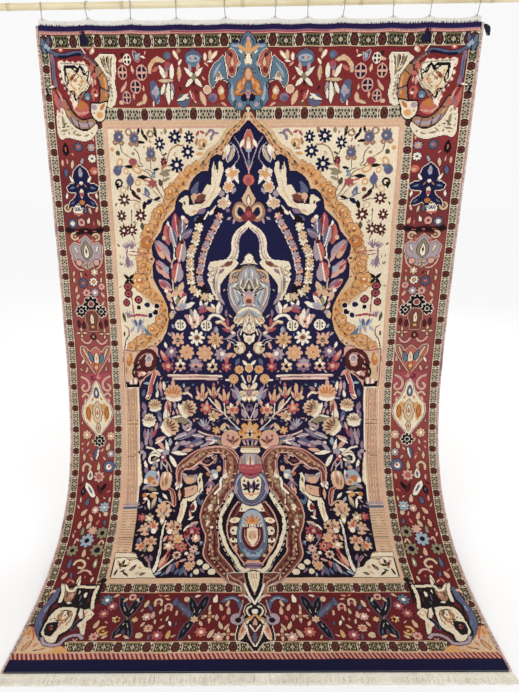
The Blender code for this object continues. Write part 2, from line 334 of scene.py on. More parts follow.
def smooth_line(points, step=2.0):
    """Points close together on a smooth line through the given ones."""
    p = np.array(points, dtype=float)
    p = np.vstack([2 * p[0] - p[1], p, 2 * p[-1] - p[-2]])
    out = []
    for i in range(1, len(p) - 2):
        count = max(int(np.hypot(*(p[i + 1] - p[i])[:2]) / step), 2)
        t = np.linspace(0, 1, count, endpoint=False)[:, None]
        out.append(0.5 * (2 * p[i] + (p[i + 1] - p[i - 1]) * t
                   + (2 * p[i - 1] - 5 * p[i] + 4 * p[i + 1] - p[i + 2]) * t**2
                   + (3 * p[i] - p[i - 1] - 3 * p[i + 1] + p[i + 2]) * t**3))
    out.append(p[-2:-1])
    return np.vstack(out)


def stroke(inks, width, points):
    """A line of the width, or of a third number at each point; its inks run inward."""
    line = smooth_line([(q[0], q[1], q[2] if len(q) > 2 else width) for q in points])
    mask = np.zeros((ROWS, HALF_COLUMNS), dtype=bool)
    for u, y, wide in line:
        window, dx, dy = knots_near(u, y, wide / 2)
        mask[window] |= dx**2 + dy**2 < max(wide / 2, 1.15) ** 2
    dye(slice(None), mask, inks)


def inside(points):
    """Knots inside a closed outline."""
    rows, columns = np.mgrid[0:ROWS, 0:HALF_COLUMNS]
    x, y = (columns + 0.5) * KNOT - HALF, (rows + 0.5) * ROW
    mask = np.zeros((ROWS, HALF_COLUMNS), dtype=bool)
    p = [(even_x(q[0], q[1]), q[1]) for q in points]
    for (xa, ya), (xb, yb) in zip(p, p[1:] + p[:1]):
        if ya != yb:
            mask ^= ((ya > y) != (yb > y)) & (x < (xb - xa) * (y - ya) / (yb - ya) + xa)
    return mask


def knot_chain(form, inks, size, gap, points):
    """The same motif over and over along a line."""
    line = smooth_line(points, 1.0)
    far = np.append(0, np.cumsum(np.hypot(*np.diff(line, axis=0).T[:2])))
    for at in np.arange(gap / 2, far[-1], gap):
        i = min(np.searchsorted(far, at), len(line) - 2)
        (u, y), (du, dy) = line[i][:2], (line[i + 1] - line[i])[:2]
        motif(form, inks, u, y, size, math.degrees(math.atan2(-du, dy)))


def knot_lines(ink, u0, u1, y0, y1, gap, count=0):
    """Lines across every gap mm, or, where gap is below 0, count lines down."""
    if gap > 0:
        for y in np.arange(y0, y1, gap):
            stroke(ink, 2, [(u0, y), (u1, y)])
    else:
        for i in range(int(count)):
            stroke(ink, 2, [(u0 - gap * i * 0.5, y0), (u1 - gap * i * 0.5, y1)])


def sprinkle(choice, ground, forms, size, gap, u0, u1, y0, y1):
    """Small motifs where the ground is still bare."""
    ground, forms = [INKS.index(c) for c in ground], forms.split("/")
    size, gap, u0, u1, y0, y1 = map(float, (size, gap, u0, u1, y0, y1))
    for y in np.arange(y0, y1, gap):
        for u in np.arange(u0, u1, gap):
            du, dy, grow, turn = dice.uniform(-0.5, 0.5, 4)
            inks, form = choice[dice.integers(len(choice))], forms[dice.integers(len(forms))]
            window = knots_near(u + du * gap, y + dy * gap, size * 0.8)[0]
            if np.isin(chart[window], ground).all():
                motif(form, inks, u + du * gap, y + dy * gap, size * (1 + 0.5 * grow),
                      160 * turn)


def places(words):
    """The numbers in each word: u, y and at times a width."""
    return [tuple(map(float, word.split(","))) for word in words]


def knot_row(kind, inks, *rest):
    """Knot one row of a table; knot_table tells what its words are."""
    if kind == "area":
        rounded = rest[-1] == "round"
        points = places(rest[:len(rest) - rounded])
        if rounded:
            points = [tuple(q) for q in smooth_line(points + points[:1], 4.0)]
        dye(slice(None), inside(points), inks)
    elif kind == "line":
        stroke(inks, float(rest[0]), places(rest[1:]))
    elif kind == "chain":
        form, size, gap, *points = rest
        knot_chain(form, inks, float(size), float(gap), places(points))
    elif kind == "lines":
        knot_lines(inks, *map(float, rest))
    elif kind == "sprinkle":
        sprinkle(inks.split("/"), *rest)
    else:
        motif(kind, inks, *map(float, rest))


def knot_table(text):
    """Knot every row of a table; a row ends at a semicolon or where its line ends.

    Rows, whose places are words such as 340,512 with at times a width as third number:
      area inks places, and "round" where its outline is smooth
      line inks width places
      chain inks motif size gap places
      lines ink u0 u1 y0 y1 gap, and count where the gap is below 0
      sprinkle choice of inks, inks of the ground, motifs, size gap u0 u1 y0 y1
      motif inks u y size turn squeeze, the last two only where they aren't 0 and 1
    A row of numbers alone is one more motif like the row before, and # starts a comment.
    """
    before = []
    for row in text.replace("\n    ", " ").replace("\n", ";").split(";"):
        words = row.split()
        if words and words[0] != "#":
            words = before + words if words[0][0].isdigit() else words
            before = words[:2]
            knot_row(*words)


def knot_arch(chains):
    """Chains of motifs along the gold arch."""
    for form, inks, size, gap, first, last, across, down, drop in chains:
        knot_chain(form, inks, size, gap, [
            (int(u + across * w), int(y + down * w + drop)) for u, y, w in GOLD_BAND[first:last]])


def knot_end_stripe(design):
    """Two dyes twisted across the whole lower end, all leaning one way."""
    top, bottom, pitch, slant, inks = END_STRIPE
    rows = np.arange(round(top / ROW), round(bottom / ROW))
    turn = (np.arange(design.shape[1]) * KNOT - rows[:, None] * ROW * slant) % pitch / pitch
    twist = np.array([INKS.index(c) for c in inks])
    design[rows] = twist[(turn * len(inks)).astype(int)]


def knot_fields():
    """Lay the plain fields and the guards."""
    for u0, u1, y0, y1, ink in FIELDS:
        left, right = (max(round((u - MIDDLE + HALF) / KNOT), 0) for u in (u0, u1))
        chart[round(y0 / ROW):round(y1 / ROW), left:right] = INKS.index(ink)
    repeat = np.array([[INKS.index(c) for c in row] for row in GUARD], dtype=np.uint8)
    for u, y, length, depth, down, start in GUARDS:
        n, d = int(length / KNOT), round(depth / KNOT)
        strip = repeat[(np.arange(d) * len(GUARD) / d).astype(int)]
        strip = strip[:, (np.arange(n) + start) % len(GUARD[0])]
        strip = strip.T if down else strip
        r, c = round(y / ROW), round((u - MIDDLE + HALF) / KNOT)
        h, w = min(strip.shape[0], ROWS - r), min(strip.shape[1], HALF_COLUMNS - c)
        chart[r:r + h, c:c + w] = strip[:h, :w]


# ---- Charts and tables of the design ----------------------------------------
# Charted repeat of the narrow guard borders: rosettes and small sprigs, in the dyes of
# PALETTE.
GUARD = [
    "JJJJJJJJJJJJJJJJJJJIJIJDDDDDDJIJIJJ",
    "JDDJJDDJJJDDJJDDJJIDIIDKBMMBKDIIDIJ",
    "DKKDJDKDJDKDJDKKDJDKIDKMMBMMMKDIKDI",
    "DKIDJJDDIDDJJDIKDJKDJDMMBMMBMMDJDKI",
    "JDDJDDJIKIJDDJDDJJKIJKMBMMKMMBKJIKI",
    "JJJDKKIKIKIKKDJJJJDIJKMMMKMMBMKJIDI",
    "JDDJDDJIKIJDDJDDJJKIJKMBMMMKMMKJIKI",
    "DKIDJJDDIDDJJDIKDJKDJDMMMBMMBMDJDKI",
    "DKKDJDKDJDKDJDKKDJDKIDKMBMMMMKDIKDI",
    "JDDJJDDJJJDDJJDDJJIDIIDKMMBMKDIIDIJ",
    "JJJJJJJJJJJJJJJJJJJIJIJDDDDDDJIJIJJ",
]

# Motifs in their own units: shape, inks from the outside in, middle across and
# down, half width and half length, lean in degrees, number of petals.
FORMS = {
    "pane": [  # dark oval behind a pale cross
        ("oval", "01", 0, 0, 1, 1, 0), ("oval", "2", 0, 0, 0.8, 0.8, 0),
        ("bar", "1", 0, 0, 0.13, 0.9, 0), ("bar", "1", 0, 0, 0.13, 0.9, 90),
    ],
    "rosette": [("star", "01", 0, 0, 1, 0.3, 0, 8), ("oval", "2", 0, 0, 0.36, 0.36, 0)],
    "blossom": [("star", "01", 0, 0, 1, 0.42, 0, 6), ("oval", "2", 0, 0, 0.38, 0.38, 0)],
    "daisy": [("star", "01", 0, 0, 1, 0.48, 0, 8), ("oval", "2", 0, 0, 0.36, 0.38, 0)],
    "lump": [("star", "01", 0, 0, 1, 0.24, 12, 5), ("oval", "2", -0.1, -0.1, 0.4, 0.36, 0),
             ("oval", "3", -0.2, -0.2, 0.16, 0.16, 0)],
    "aster": [("star", "01", 0, 0, 1.05, 0.42, 0, 8), ("star", "2", 0, 0, 0.55, 0.4, 0, 8),
              ("oval", "3", 0, 0, 0.27, 0.29, 0)],
    "gold": [("star", "01", 0, 0, 1, 0.28, 0, 8), ("star", "2", 0, 0, 0.62, 0.25, 20, 8),
             ("star", "1", 0, 0, 0.42, 0.2, 0, 8), ("oval", "3", 0, 0, 0.18, 0.18, 0)],
    "check": [("oval", "01", 0, 0, 1, 1, 0), ("bar", "2", 0, 0, 0.1, 0.8, 0),
              ("oval", "3", -0.45, -0.3, 0.18, 0.2, 0), ("oval", "3", 0.45, -0.3, 0.18, 0.2, 0),
              ("oval", "3", -0.45, 0.35, 0.18, 0.2, 0), ("oval", "3", 0.45, 0.35, 0.18, 0.2, 0),
              ("oval", "2", -0.4, 0, 0.12, 0.14, 0), ("oval", "2", 0.4, 0, 0.12, 0.14, 0)],
    "tick": [("leaf", "01", 0, 0, 0.34, 1, 0)],
    "petal": [("drop", "01", 0, 0, 0.6, 1, 0)],
    "petal2": [("drop", "01", 0, 0, 0.62, 1, 0), ("drop", "2", 0, 0.3, 0.34, 0.5, 0)],
    "ball": [("oval", "01", 0, 0, 1, 1, 0)],
    "eye": [("oval", "01", 0, 0, 1, 1, 0), ("oval", "2", 0, 0, 0.45, 0.45, 0)],
    "plume": [  # leaf in two colours along its vein
        ("leaf", "01", 0, 0, 0.42, 1, 0),
        ("leaf", "2", 0.17, 0.02, 0.17, 0.86, 2),
        ("bar", "3", 0, 0.08, 0.05, 0.86, 0),
    ],
    "tulip": [
        ("drop", "01", -0.55, 0.0, 0.32, 0.75, -28), ("drop", "01", 0.55, 0.0, 0.32, 0.75, 28),
        ("drop", "01", 0, -0.15, 0.42, 0.95, 0), ("drop", "2", 0, 0.15, 0.24, 0.6, 0),
        ("oval", "3", 0, 0.72, 0.3, 0.22, 0),
    ],
    "lily": [  # ribbed shell over a pale crescent
        ("star", "01", 0, -0.05, 1.0, 0.16, 0, 12),
        ("leaf", "2", -0.55, -0.15, 0.11, 0.42, -38), ("leaf", "2", -0.28, -0.28, 0.11, 0.46, -18),
        ("leaf", "2", 0, -0.32, 0.12, 0.5, 0), ("leaf", "2", 0.28, -0.28, 0.11, 0.46, 18),
        ("leaf", "2", 0.55, -0.15, 0.11, 0.42, 38),
        ("oval", "3", 0, 0.55, 0.85, 0.32, 0), ("oval", "1", 0, 0.28, 0.62, 0.22, 0),
    ],
    "thistle": [
        ("ring", "02", -0.55, 1.0, 0.42, 0.38, 0), ("ring", "02", 0.55, 1.0, 0.42, 0.38, 0),
        ("drop", "01", -0.45, -0.75, 0.22, 0.5, -22), ("drop", "01", 0.45, -0.75, 0.22, 0.5, 22),
        ("drop", "01", 0, -0.85, 0.24, 0.5, 0),
        ("oval", "01", 0, 0, 0.82, 0.85, 0), ("oval", "3", 0.15, 0, 0.2, 0.22, 0),
    ],
    "cross": [  # four petals on the diagonals
        ("drop", "01", -0.52, -0.5, 0.34, 0.6, -45), ("drop", "01", 0.52, -0.5, 0.34, 0.6, 45),
        ("drop", "01", -0.5, 0.5, 0.32, 0.52, -135), ("drop", "01", 0.5, 0.5, 0.32, 0.52, 135),
        ("oval", "2", 0, 0, 0.22, 0.3, 0),
    ],
    "curl": [("hook", "01", 0, 0, 1, 1, 40), ("oval", "1", 0.1, -0.05, 0.25, 0.25, 0)],
    "loop": [("ring", "01", 0, 0, 1, 0.9, 0)],
    "fleur": [
        ("leaf", "01", -0.62, -0.1, 0.26, 0.8, -50), ("leaf", "01", 0.62, -0.1, 0.26, 0.8, 50),
        ("leaf", "01", 0, -0.3, 0.3, 0.95, 0), ("leaf", "2", 0, -0.1, 0.14, 0.6, 0),
        ("oval", "2", 0, 0.6, 0.3, 0.2, 0),
    ],
    "spray": [  # narrow leaves spread like fingers
        ("leaf", "01", -0.6, 0.0, 0.13, 0.8, -42), ("leaf", "01", -0.33, -0.2, 0.13, 0.85, -22),
        ("leaf", "01", 0, -0.25, 0.14, 0.9, 0), ("leaf", "01", 0.33, -0.2, 0.13, 0.85, 22),
        ("leaf", "01", 0.6, 0.0, 0.13, 0.8, 42), ("oval", "2", 0, 0.55, 0.32, 0.26, 0),
    ],
    "lotus": [
        ("leaf", "01", -0.72, -0.05, 0.2, 0.95, -24), ("leaf", "01", 0.72, -0.05, 0.2, 0.95, 24),
        ("leaf", "02", -0.42, -0.1, 0.22, 0.98, -12), ("leaf", "02", 0.42, -0.1, 0.22, 0.98, 12),
        ("leaf", "3", -0.2, -0.08, 0.1, 0.8, -6), ("leaf", "3", 0.2, -0.08, 0.1, 0.8, 6),
        ("leaf", "41", 0, -0.12, 0.2, 1.0, 0), ("oval", "02", 0, 0.85, 0.3, 0.2, 0),
    ],
}

# Straight fields of one ink: left, right, top, bottom on the even chart, mm.
FIELDS = [
    # u0, u1, y0, y1, ink
    (0, 660, 0, 2100, "R"),
    (0, 660, 0, 13, "N"), (0, 660, 13, 15, "V"), (0, 660, 15, 20, "H"), (0, 660, 20, 23, "P"),
    (0, 14, 23, 2045, "P"),
    (0, 660, 2045, 2047, "X"), (0, 660, 2064, 2067, "M"), (0, 660, 2067, 2100, "N"),
    (34, 36, 60, 2012, "C"), (36, 38, 62, 2010, "M"),
    (36, 660, 58, 60, "C"), (36, 660, 60, 62, "M"),
    (34, 660, 2009, 2013, "C"), (34, 660, 2043, 2046, "X"),
    (163, 166, 222, 1842, "C"), (166, 660, 219, 222, "C"), (164, 660, 1839, 1843, "X"),
    (190, 660, 254, 1810, "P"),
    (193, 660, 257, 1807, "C"), (196, 660, 262, 1801, "X"), (199, 660, 267, 1797, "C"),
    (201, 660, 272, 1792, "P"), (204, 660, 277, 1788, "X"),
    (206, 660, 280, 1787, "I"),
]

# The slanting stripe at the lower end: top, bottom, pitch and slant in mm, and its dyes.
END_STRIPE = (2047, 2065, 12, 0.5, "PPSMMS")

# Guards: strips filled with the repeat, which may start some knots in.
GUARDS = [
    # u, y, length, depth, down, start in the repeat
    (14, 24, 640, 34, False, 14), (12, 24, 2020, 22, True, 20), (14, 2013, 640, 30, False, 9),
    (166, 222, 490, 32, False, 22), (166, 222, 1616, 24, True, 5), (166, 1809, 490, 30, False, 16),
]

# The gold arch that frames the niche: places down its middle, and its width there.
GOLD_BAND = [
    (614, 236, 6), (598, 262, 14), (580, 276, 18), (560, 296, 20), (548, 318, 22), (530, 338, 24),
    (508, 350, 22), (496, 366, 24), (480, 384, 30), (458, 396, 30), (430, 412, 30), (416, 436, 34),
    (392, 456, 38), (382, 478, 38), (370, 506, 36), (340, 532, 40), (330, 560, 36), (312, 586, 40),
    (296, 612, 42), (292, 640, 38), (282, 672, 46), (284, 706, 50), (276, 740, 52), (288, 776, 50),
    (318, 806, 48), (336, 842, 42), (338, 880, 42), (322, 915, 44), (296, 938, 44), (262, 956, 44),
    (236, 976, 42), (222, 1004, 36), (214, 1030, 26),
]
# Lines along it: inks, first and last place used, moved across and down by these shares of
# the width, and the line's own share of the width.
ARCH_LINES = [
    ("CC", 8, None, 0.18, 0.1, 1.2), ("CX", 0, 10, 0.4, 0.3, 0.6), ("GG", 8, None, 0.05, 0, 0.6),
]
# Chains of motifs along it: motif, inks, size, gap, first and last place used, moved across
# and down by these shares of the width, and down by mm.
ARCH_LUMPS = [
    ("lump", "AGX", 15, 26, 8, None, -0.25, -0.1, 0), ("lump", ".GO", 13, 19, 8, None, 0.1, 0, 0),
]
ARCH_SCALES = [
    ("curl", ".A", 7, 27, 2, None, 0.02, 0, 8), ("tick", ".B", 7, 31, 0, None, 0.22, 0, -3),
    ("petal", "GC", 13, 19, 1, 9, -0.4, 0, -4), ("tick", ".A", 9, 11, 0, 9, -0.1, 0, 0),
    ("tick", ".G", 10, 13, 0, 9, 0.12, 0, 0), ("tick", ".B", 6, 17, 0, 9, 0.3, 0, 3),
    ("tick", ".D", 8, 29, 1, 9, -0.3, 0, 3),
]

# Large single lumps on the arch.
ARCH_FRUITS = """
lump BGOI 341 529 22; 302 586 26 20 .9; lump BOGI 294 622 21 70 .9; lump BGOI 379 468 22
284 700 27; 266 752 30 30 1.1; lump BGXO 330 880 20; lump BGOI 302 914 22; lump BGXO 262 952 22
lump AGX 226 978 20
"""

# Specks on the arch, the navy niche and the striped strips beside it.
FIELD = """
sprinkle .I/.C/.I/.B G ball/tick 4.5 8 198 600 330 1030
sprinkle .W/.I/.B/.O/.A/.C GOX ball/tick 4 9 198 600 236 1030
sprinkle .B/.G/.O C ball/tick 4.5 10 198 617 236 1030
area XKKN 617,262 604,276 592,290 577,298 569,312 556,334 545,352 541,362 524,358 508,366 504,382
    500,406 478,406 458,418 444,436 437,461 420,461 407,470 397,490 393,518 374,538 354,560
    344,588 327,608 313,632 314,664 322,676 312,700 314,740 330,772 345,800 358,836 361,880
    352,918 334,952 314,972 312,990 306,1046 290,1062 266,1076 252,1098 250,1116 241,1124
    243,1250 248,1330 256,1395 262,1455 250,1476 250,1560 246,1640 247,1698 268,1716 276,1745
    300,1786 700,1786 700,262
area C 198,1030 246,1116 246,1530 198,1530; lines P 200 200 1122 1528 -9 8
lines X 204 204 1122 1528 -9 8; lines A 207 207 1122 1528 -11 6
line W 5 243,1124 243,1300 246,1528; line P 2 236,1124 238,1528; lines D 202 240 1240 1253 12
lines X 202 240 1243 1251 3; lines D 204 226 1366 1372 6; lines A 208 234 1150 1152 3
area C 198,1530 246,1530 246,1716 198,1716; lines V 200 252 1528 1532 3
lines L 200 252 1534 1538 3; lines T 200 250 1540 1548 2.2; lines A 200 246 1556 1698 9
lines X 200 246 1560 1698 9; lines E 200 246 1603 1700 45
"""

# Upper part of the niche, down to the foot of the vase.
NICHE = """
# point of the niche
line L 3 578,303 592,324 602,348 612,372 617,392 621,396
line L 3 566,320 580,330 590,350 591,366 582,378 574,392; plume WTCL 566 352 26 22 .9
tick W 555 344 22 20 1.2; tick C 548 356 16 24; petal PS 619 312 28 0 1.15
tick W 602 322 14 24 1.2; petal MC 620 318 17 0 .75; tick W 621 330 14 0 1.2
tick Y 622 343 10 90 1.6; line L 3 622,346 622,380 622,414; tick Z 622 380 14 0 .9
line P 4 612,378 621,398 622,412; ball MS 622 430 16; ball .H 624 432 10
area MC 624,442 616,462 602,486 607,500 616,520 640,524 640,442
area AE 625,468 616,490 621,506 640,510 640,468; tick W 626 494 18
line MA 15 616,524 604,508 590,506 580,522 582,540 594,550 606,548
line C 8 614,524 602,511 590,510 584,522 586,538 596,546; petal MR 626 534 24 180 1.1
ball .R 618 544 13 0 1.3; ball .H 624 534 9; petal W 627 556 12; tick L 562 548 8 60 1.6
578 556 9 20 1.3; ball V 558 522 6; tick V 556 498 9 -20 1.4
# gold lilies leading down the garland
blossom WX 572 410 20 10; ball .G 574 410 10; petal W 586 430 14 150; 576 392 10 10
ball .W 556 404 7; blossom WX 560 450 18 20 .9; tick W 560 428 10 0 2; ball .G 560 450 9
ball TL 538 470 9; tick L 578 462 12 30 1.3; blossom WC 545 500 16 0 1.2; ball .X 540 500 9 0 1.1
tick W 556 482 11 20 1.2; 562 500 8 90 1.4
# bird
area KI 514,376 508,396 506,424 505,446 492,442 480,462 474,474 488,482 478,500 452,502 444,506
    437,478 426,474 412,482 403,492 416,498 414,512 424,528 440,538 462,530 480,516 500,508
    512,490 530,470 538,458 530,448 538,420 544,400 540,376 530,374 528,396 520,400 518,380
line K 2 516,398 517,380; line K 3 526,408 527,386; line C 4 520,430 514,460 500,486 470,512
line KK 4 437,476 440,508; tick D 421 498 7 -20 1.5; petal KT 456 450 20 28 1.1
ball .T 452 462 12; ball X 452 480 11; petal P 450 492 10 180; tick B 474 478 17 80 1.2
468 488 18 80; tick M 476 494 15 70 .8; tick P 466 472 8 80; tick C 452 524 12 80 1.2
tick W 440 508 9 60 1.6; line W 5 496,526 482,548 470,562; line W 4 520,508 510,520 498,530
tick V 474 524 16 70 1.5; tick T 458 546 12 50 1.3; tick W 506 528 10 40 1.4
# plume leaves
line C 5 380,800 375,764 374,730 372,690 384,672; line P 4 372,688 362,668 356,640
line W 4 384,676 398,650 404,610 402,575 402,556; line W 4 380,672 382,640 376,612 372,590
line W 3 404,596 416,584 428,566; plume NHRP 392 566 38 -4 .95; plume .TVW 411 572 34 6 .8
petal .X 420 548 15 -40 1.1; ball .W 414 542 6; petal .W 365 566 12 0 1.2
plume NSRH 362 598 34 -4; plume .LTW 380 604 36 -14 .85; ball .C 350 608 7
plume NTLL 426 590 22 62 .9; tick .V 424 600 20 60 1.1; plume NSLW 404 648 40 14 .95
ball .M 408 620 7; tick .L 414 660 26 12 .9; plume NVLP 340 642 34 -38 1.2
petal .X 336 656 22 -34; tick .S 332 644 12 -30 1.4; tick .L 360 656 26 -14 .9
tick .P 362 672 18 -30 .9; plume NHLP 340 706 34 -40 1.2; tick .P 334 712 20 -44 1.4
tick .R 334 704 12 -40 1.2; ball .Y 354 708 9; tick .P 350 728 20 -52
plume NSLW 388 718 36 12 1.15; tick .L 400 730 22 16 1.3; tick .H 382 700 12 10 1.6
plume NPVP 350 762 30 -50 1.1; tick .H 342 760 16 -50 1.2; 356 782 14 -60 1.2
tick .C 400 772 24 24 1.2; tick .E 384 782 18 10 1.2; tick BX 402 790 14 16 1.6; ball .H 412 796 9
tick .X 362 806 16 -40 1.2
# ribbon and leafy tuft
line NWI 0 628,558,9 616,572,12 600,586,16 586,604,18 580,626,19 580,650,20 574,672,24 560,690,28
    544,700,30 528,706,34
area NWI 500,686 520,684 548,680 580,676 590,690 578,706 556,724 548,734 536,750 528,764 530,790
    526,812 512,808 506,780 498,758 492,744 498,734 490,726 500,716 492,706
line V 3 616,578 598,594 590,612 586,640 582,664 566,686 548,700; line L 3 606,590 594,612 590,650
line W 3 596,586 575,612 570,650 556,676 530,690; line A 2 600,580 584,606 580,640
tick B 558 692 18 66 1.3; tick A 540 700 12 80; tick V 536 716 14 50 1.2
line A 2 560,676 574,664 576,650; line E 2 520,700 512,724 514,752 516,790
line A 2 532,712 524,738 520,770; tick W 506 740 20 8 .8; tick I 528 742 20 16 .8
tick E 510 760 24 -6 .5; tick V 512 744 20 4 .35; tick L 520 762 24 2 .35; tick A 504 716 12 60 .5
506 730 12 50 .5; tick V 520 716 18 20 .35; sprinkle .A/.L/.C/.E/.W I tick 8 8 494 600 565 812
line N 2 498,700 512,706; line N 2 494,722 506,728; line N 2 500,752 508,750
tick L 528 800 22 -20 .9; tick .L 538 816 16 -34 .8
# vase
area KL 608,700 596,708 578,720 562,744 556,780 566,824 580,850 594,872 600,900 660,900 660,700
    round
area KI 612,672 616,668 640,668 640,690 604,694; ball EW 630 676 16 0 1.1; tick P 630 680 9 90 1.4
line K 3 604,698 652,698; line W 3 600,694 606,690
area DE 604,704 596,714 588,744 584,776 640,776 640,704; tick .Y 604 730 26 16 .5
tick .L 596 740 24 20 .5; 612 732 28 10 .5; tick .Y 620 730 28 4 .6; tick .W 616 724 16 8 .4
tick .L 630 726 24 0 .8; tick .P 630 724 12 0 .8; tick .E 626 734 18 4 .4
tick .W 600 752 14 16 .5; tick .V 608 756 16 10 .5; tick .Y 616 758 16 4 .5
line KC 7 600,712 580,716 568,726 566,742 576,750 586,744; tick KC 580 734 13 16 1.1
tick .K 580 734 8 16 .9; line O 3 600,710 582,713; ball PX 568 746 6
area DY 578,752 562,764 562,790 570,816 584,842 600,868 612,850 604,806 594,776
line W 3 564,766 566,794 576,820 590,846; line O 4 572,772 576,798 586,824 596,842
line W 2 578,766 584,792 594,818; line E 3 584,762 590,788 600,812; tick .W 580 762 14 50 .6
tick .L 590 842 16 -30 .8; sprinkle .L/.W/.L/.P/.E/.L/.A Y tick 7 8 562 606 756 856
sprinkle .W/.L/.P/.L/.Y EDG tick 7 8 590 632 712 770; line D 3 630,742 621,760 613,780
line W 3 625,742 616,760 608,778; petal .D 631 750 14 0 .8; petal .W 631 766 18 0 .8
ball .K 616 780 5 0 1.6; ball .L 631 790 10 0 1.2; line W 3 576,770 590,782 602,794
tick .D 584 776 12 -60 .7; 602 785 14 -52 .5; line W 3 596,766 606,776 612,784
tick .K 607 796 9 -60 .8; tick .W 612 796 9 -30 .8; ball .P 631 811 17 0 1.25
ball .B 631 817 9 0 1.5; tick .X 631 806 8 90 .8; tick .Z 596 822 12 20; tick .L 606 832 12 60
tick .Y 600 836 10 30; tick .W 612 830 8 60 .8; tick .V 616 836 8 60 .8
# leafy foot of the vase
area KI 632,834 612,838 596,846 584,864 576,884 588,896 602,892 608,904 606,918 640,924 640,834
    round
tick .E 594 872 26 46 .5; tick .Y 600 862 24 50 .4; tick .E 606 874 30 34 .5
tick .W 602 884 26 36 .35; tick .E 616 872 32 22 .5; tick .Y 610 860 22 40 .4
tick .L 624 862 22 14 .4; tick .E 626 884 26 8 .5; tick .W 620 892 24 14 .35; 588 880 16 40 .4
tick .A 586 866 12 50 .5; tick .X 592 880 14 50; tick C 616 880 20 20 .8; petal WK 632 874 15 0 .9
tick T 632 852 9; tick EW 614 902 16 10; tick .C 614 908 8 10; ball EW 632 906 12 0 .8
ball P 633 922 8 0 1.4; line K 5 608,926 606,946 614,962 620,974
area KW 608,932 612,928 620,936 634,934 640,936 640,972 632,970 624,960 614,956
tick C 626 950 9 0 1.6; tick X 634 948 9; line KL 5 598,912 590,928 594,946 600,958
line W 4 604,914 600,932; line L 3 540,946 562,946 582,954 590,968
line W 3 556,952 576,962 586,974; tick L 568 938 20 64 .8; ball KC 596 978 22 0 .92
ball .W 592 970 12; ball EI 600 984 13 0 .8; tick A 590 978 10 -20; ball K 582 974 5
tick K 584 964 8 60
line K 26 469,552 462,585 455,612 442,640 435,660 431,687 434,714 435,741 438,762 450,784 476,794
    503,806
chain KI blossom 15 45 469,552 462,585 455,612 442,640 435,660 431,687 434,714 435,741 438,762
    450,784 476,794 503,806
chain KC blossom 15 45 462,578 455,606 446,634 438,656 433,680 432,708 434,738 436,758 446,782
    470,796 503,810
chain .W tick 7 16 474,560 467,590 460,617 447,645 440,665 436,690 439,717 440,744 446,768 458,790
chain .G petal 7 45 468,574 460,602 446,636 436,668 432,700 433,728 436,756 450,784
chain .P tick 6 21 461,560 454,590 447,617 434,645 427,665 423,690 426,717 427,744
line K 20 524,522 531,548 516,574 503,598 491,625 477,655 470,690 463,722 466,750 478,778
chain KP blossom 13 38 524,522 531,548 516,574 503,598 491,625 477,655 470,690 463,722 466,750
    478,778
chain KL blossom 13 38 528,541 520,568 506,592 494,619 480,648 473,682 466,716 464,742 474,770
chain .W tick 6 19 534,528 538,552 524,580 511,602 499,629 485,659 478,694 471,724
chain .S tick 6 27 520,528 526,546 512,570 499,594 487,621 473,651 466,686 459,718
sprinkle .T/.Y/.S/.H/.W/.P LVSPT tick 6 12 340 470 540 830
"""

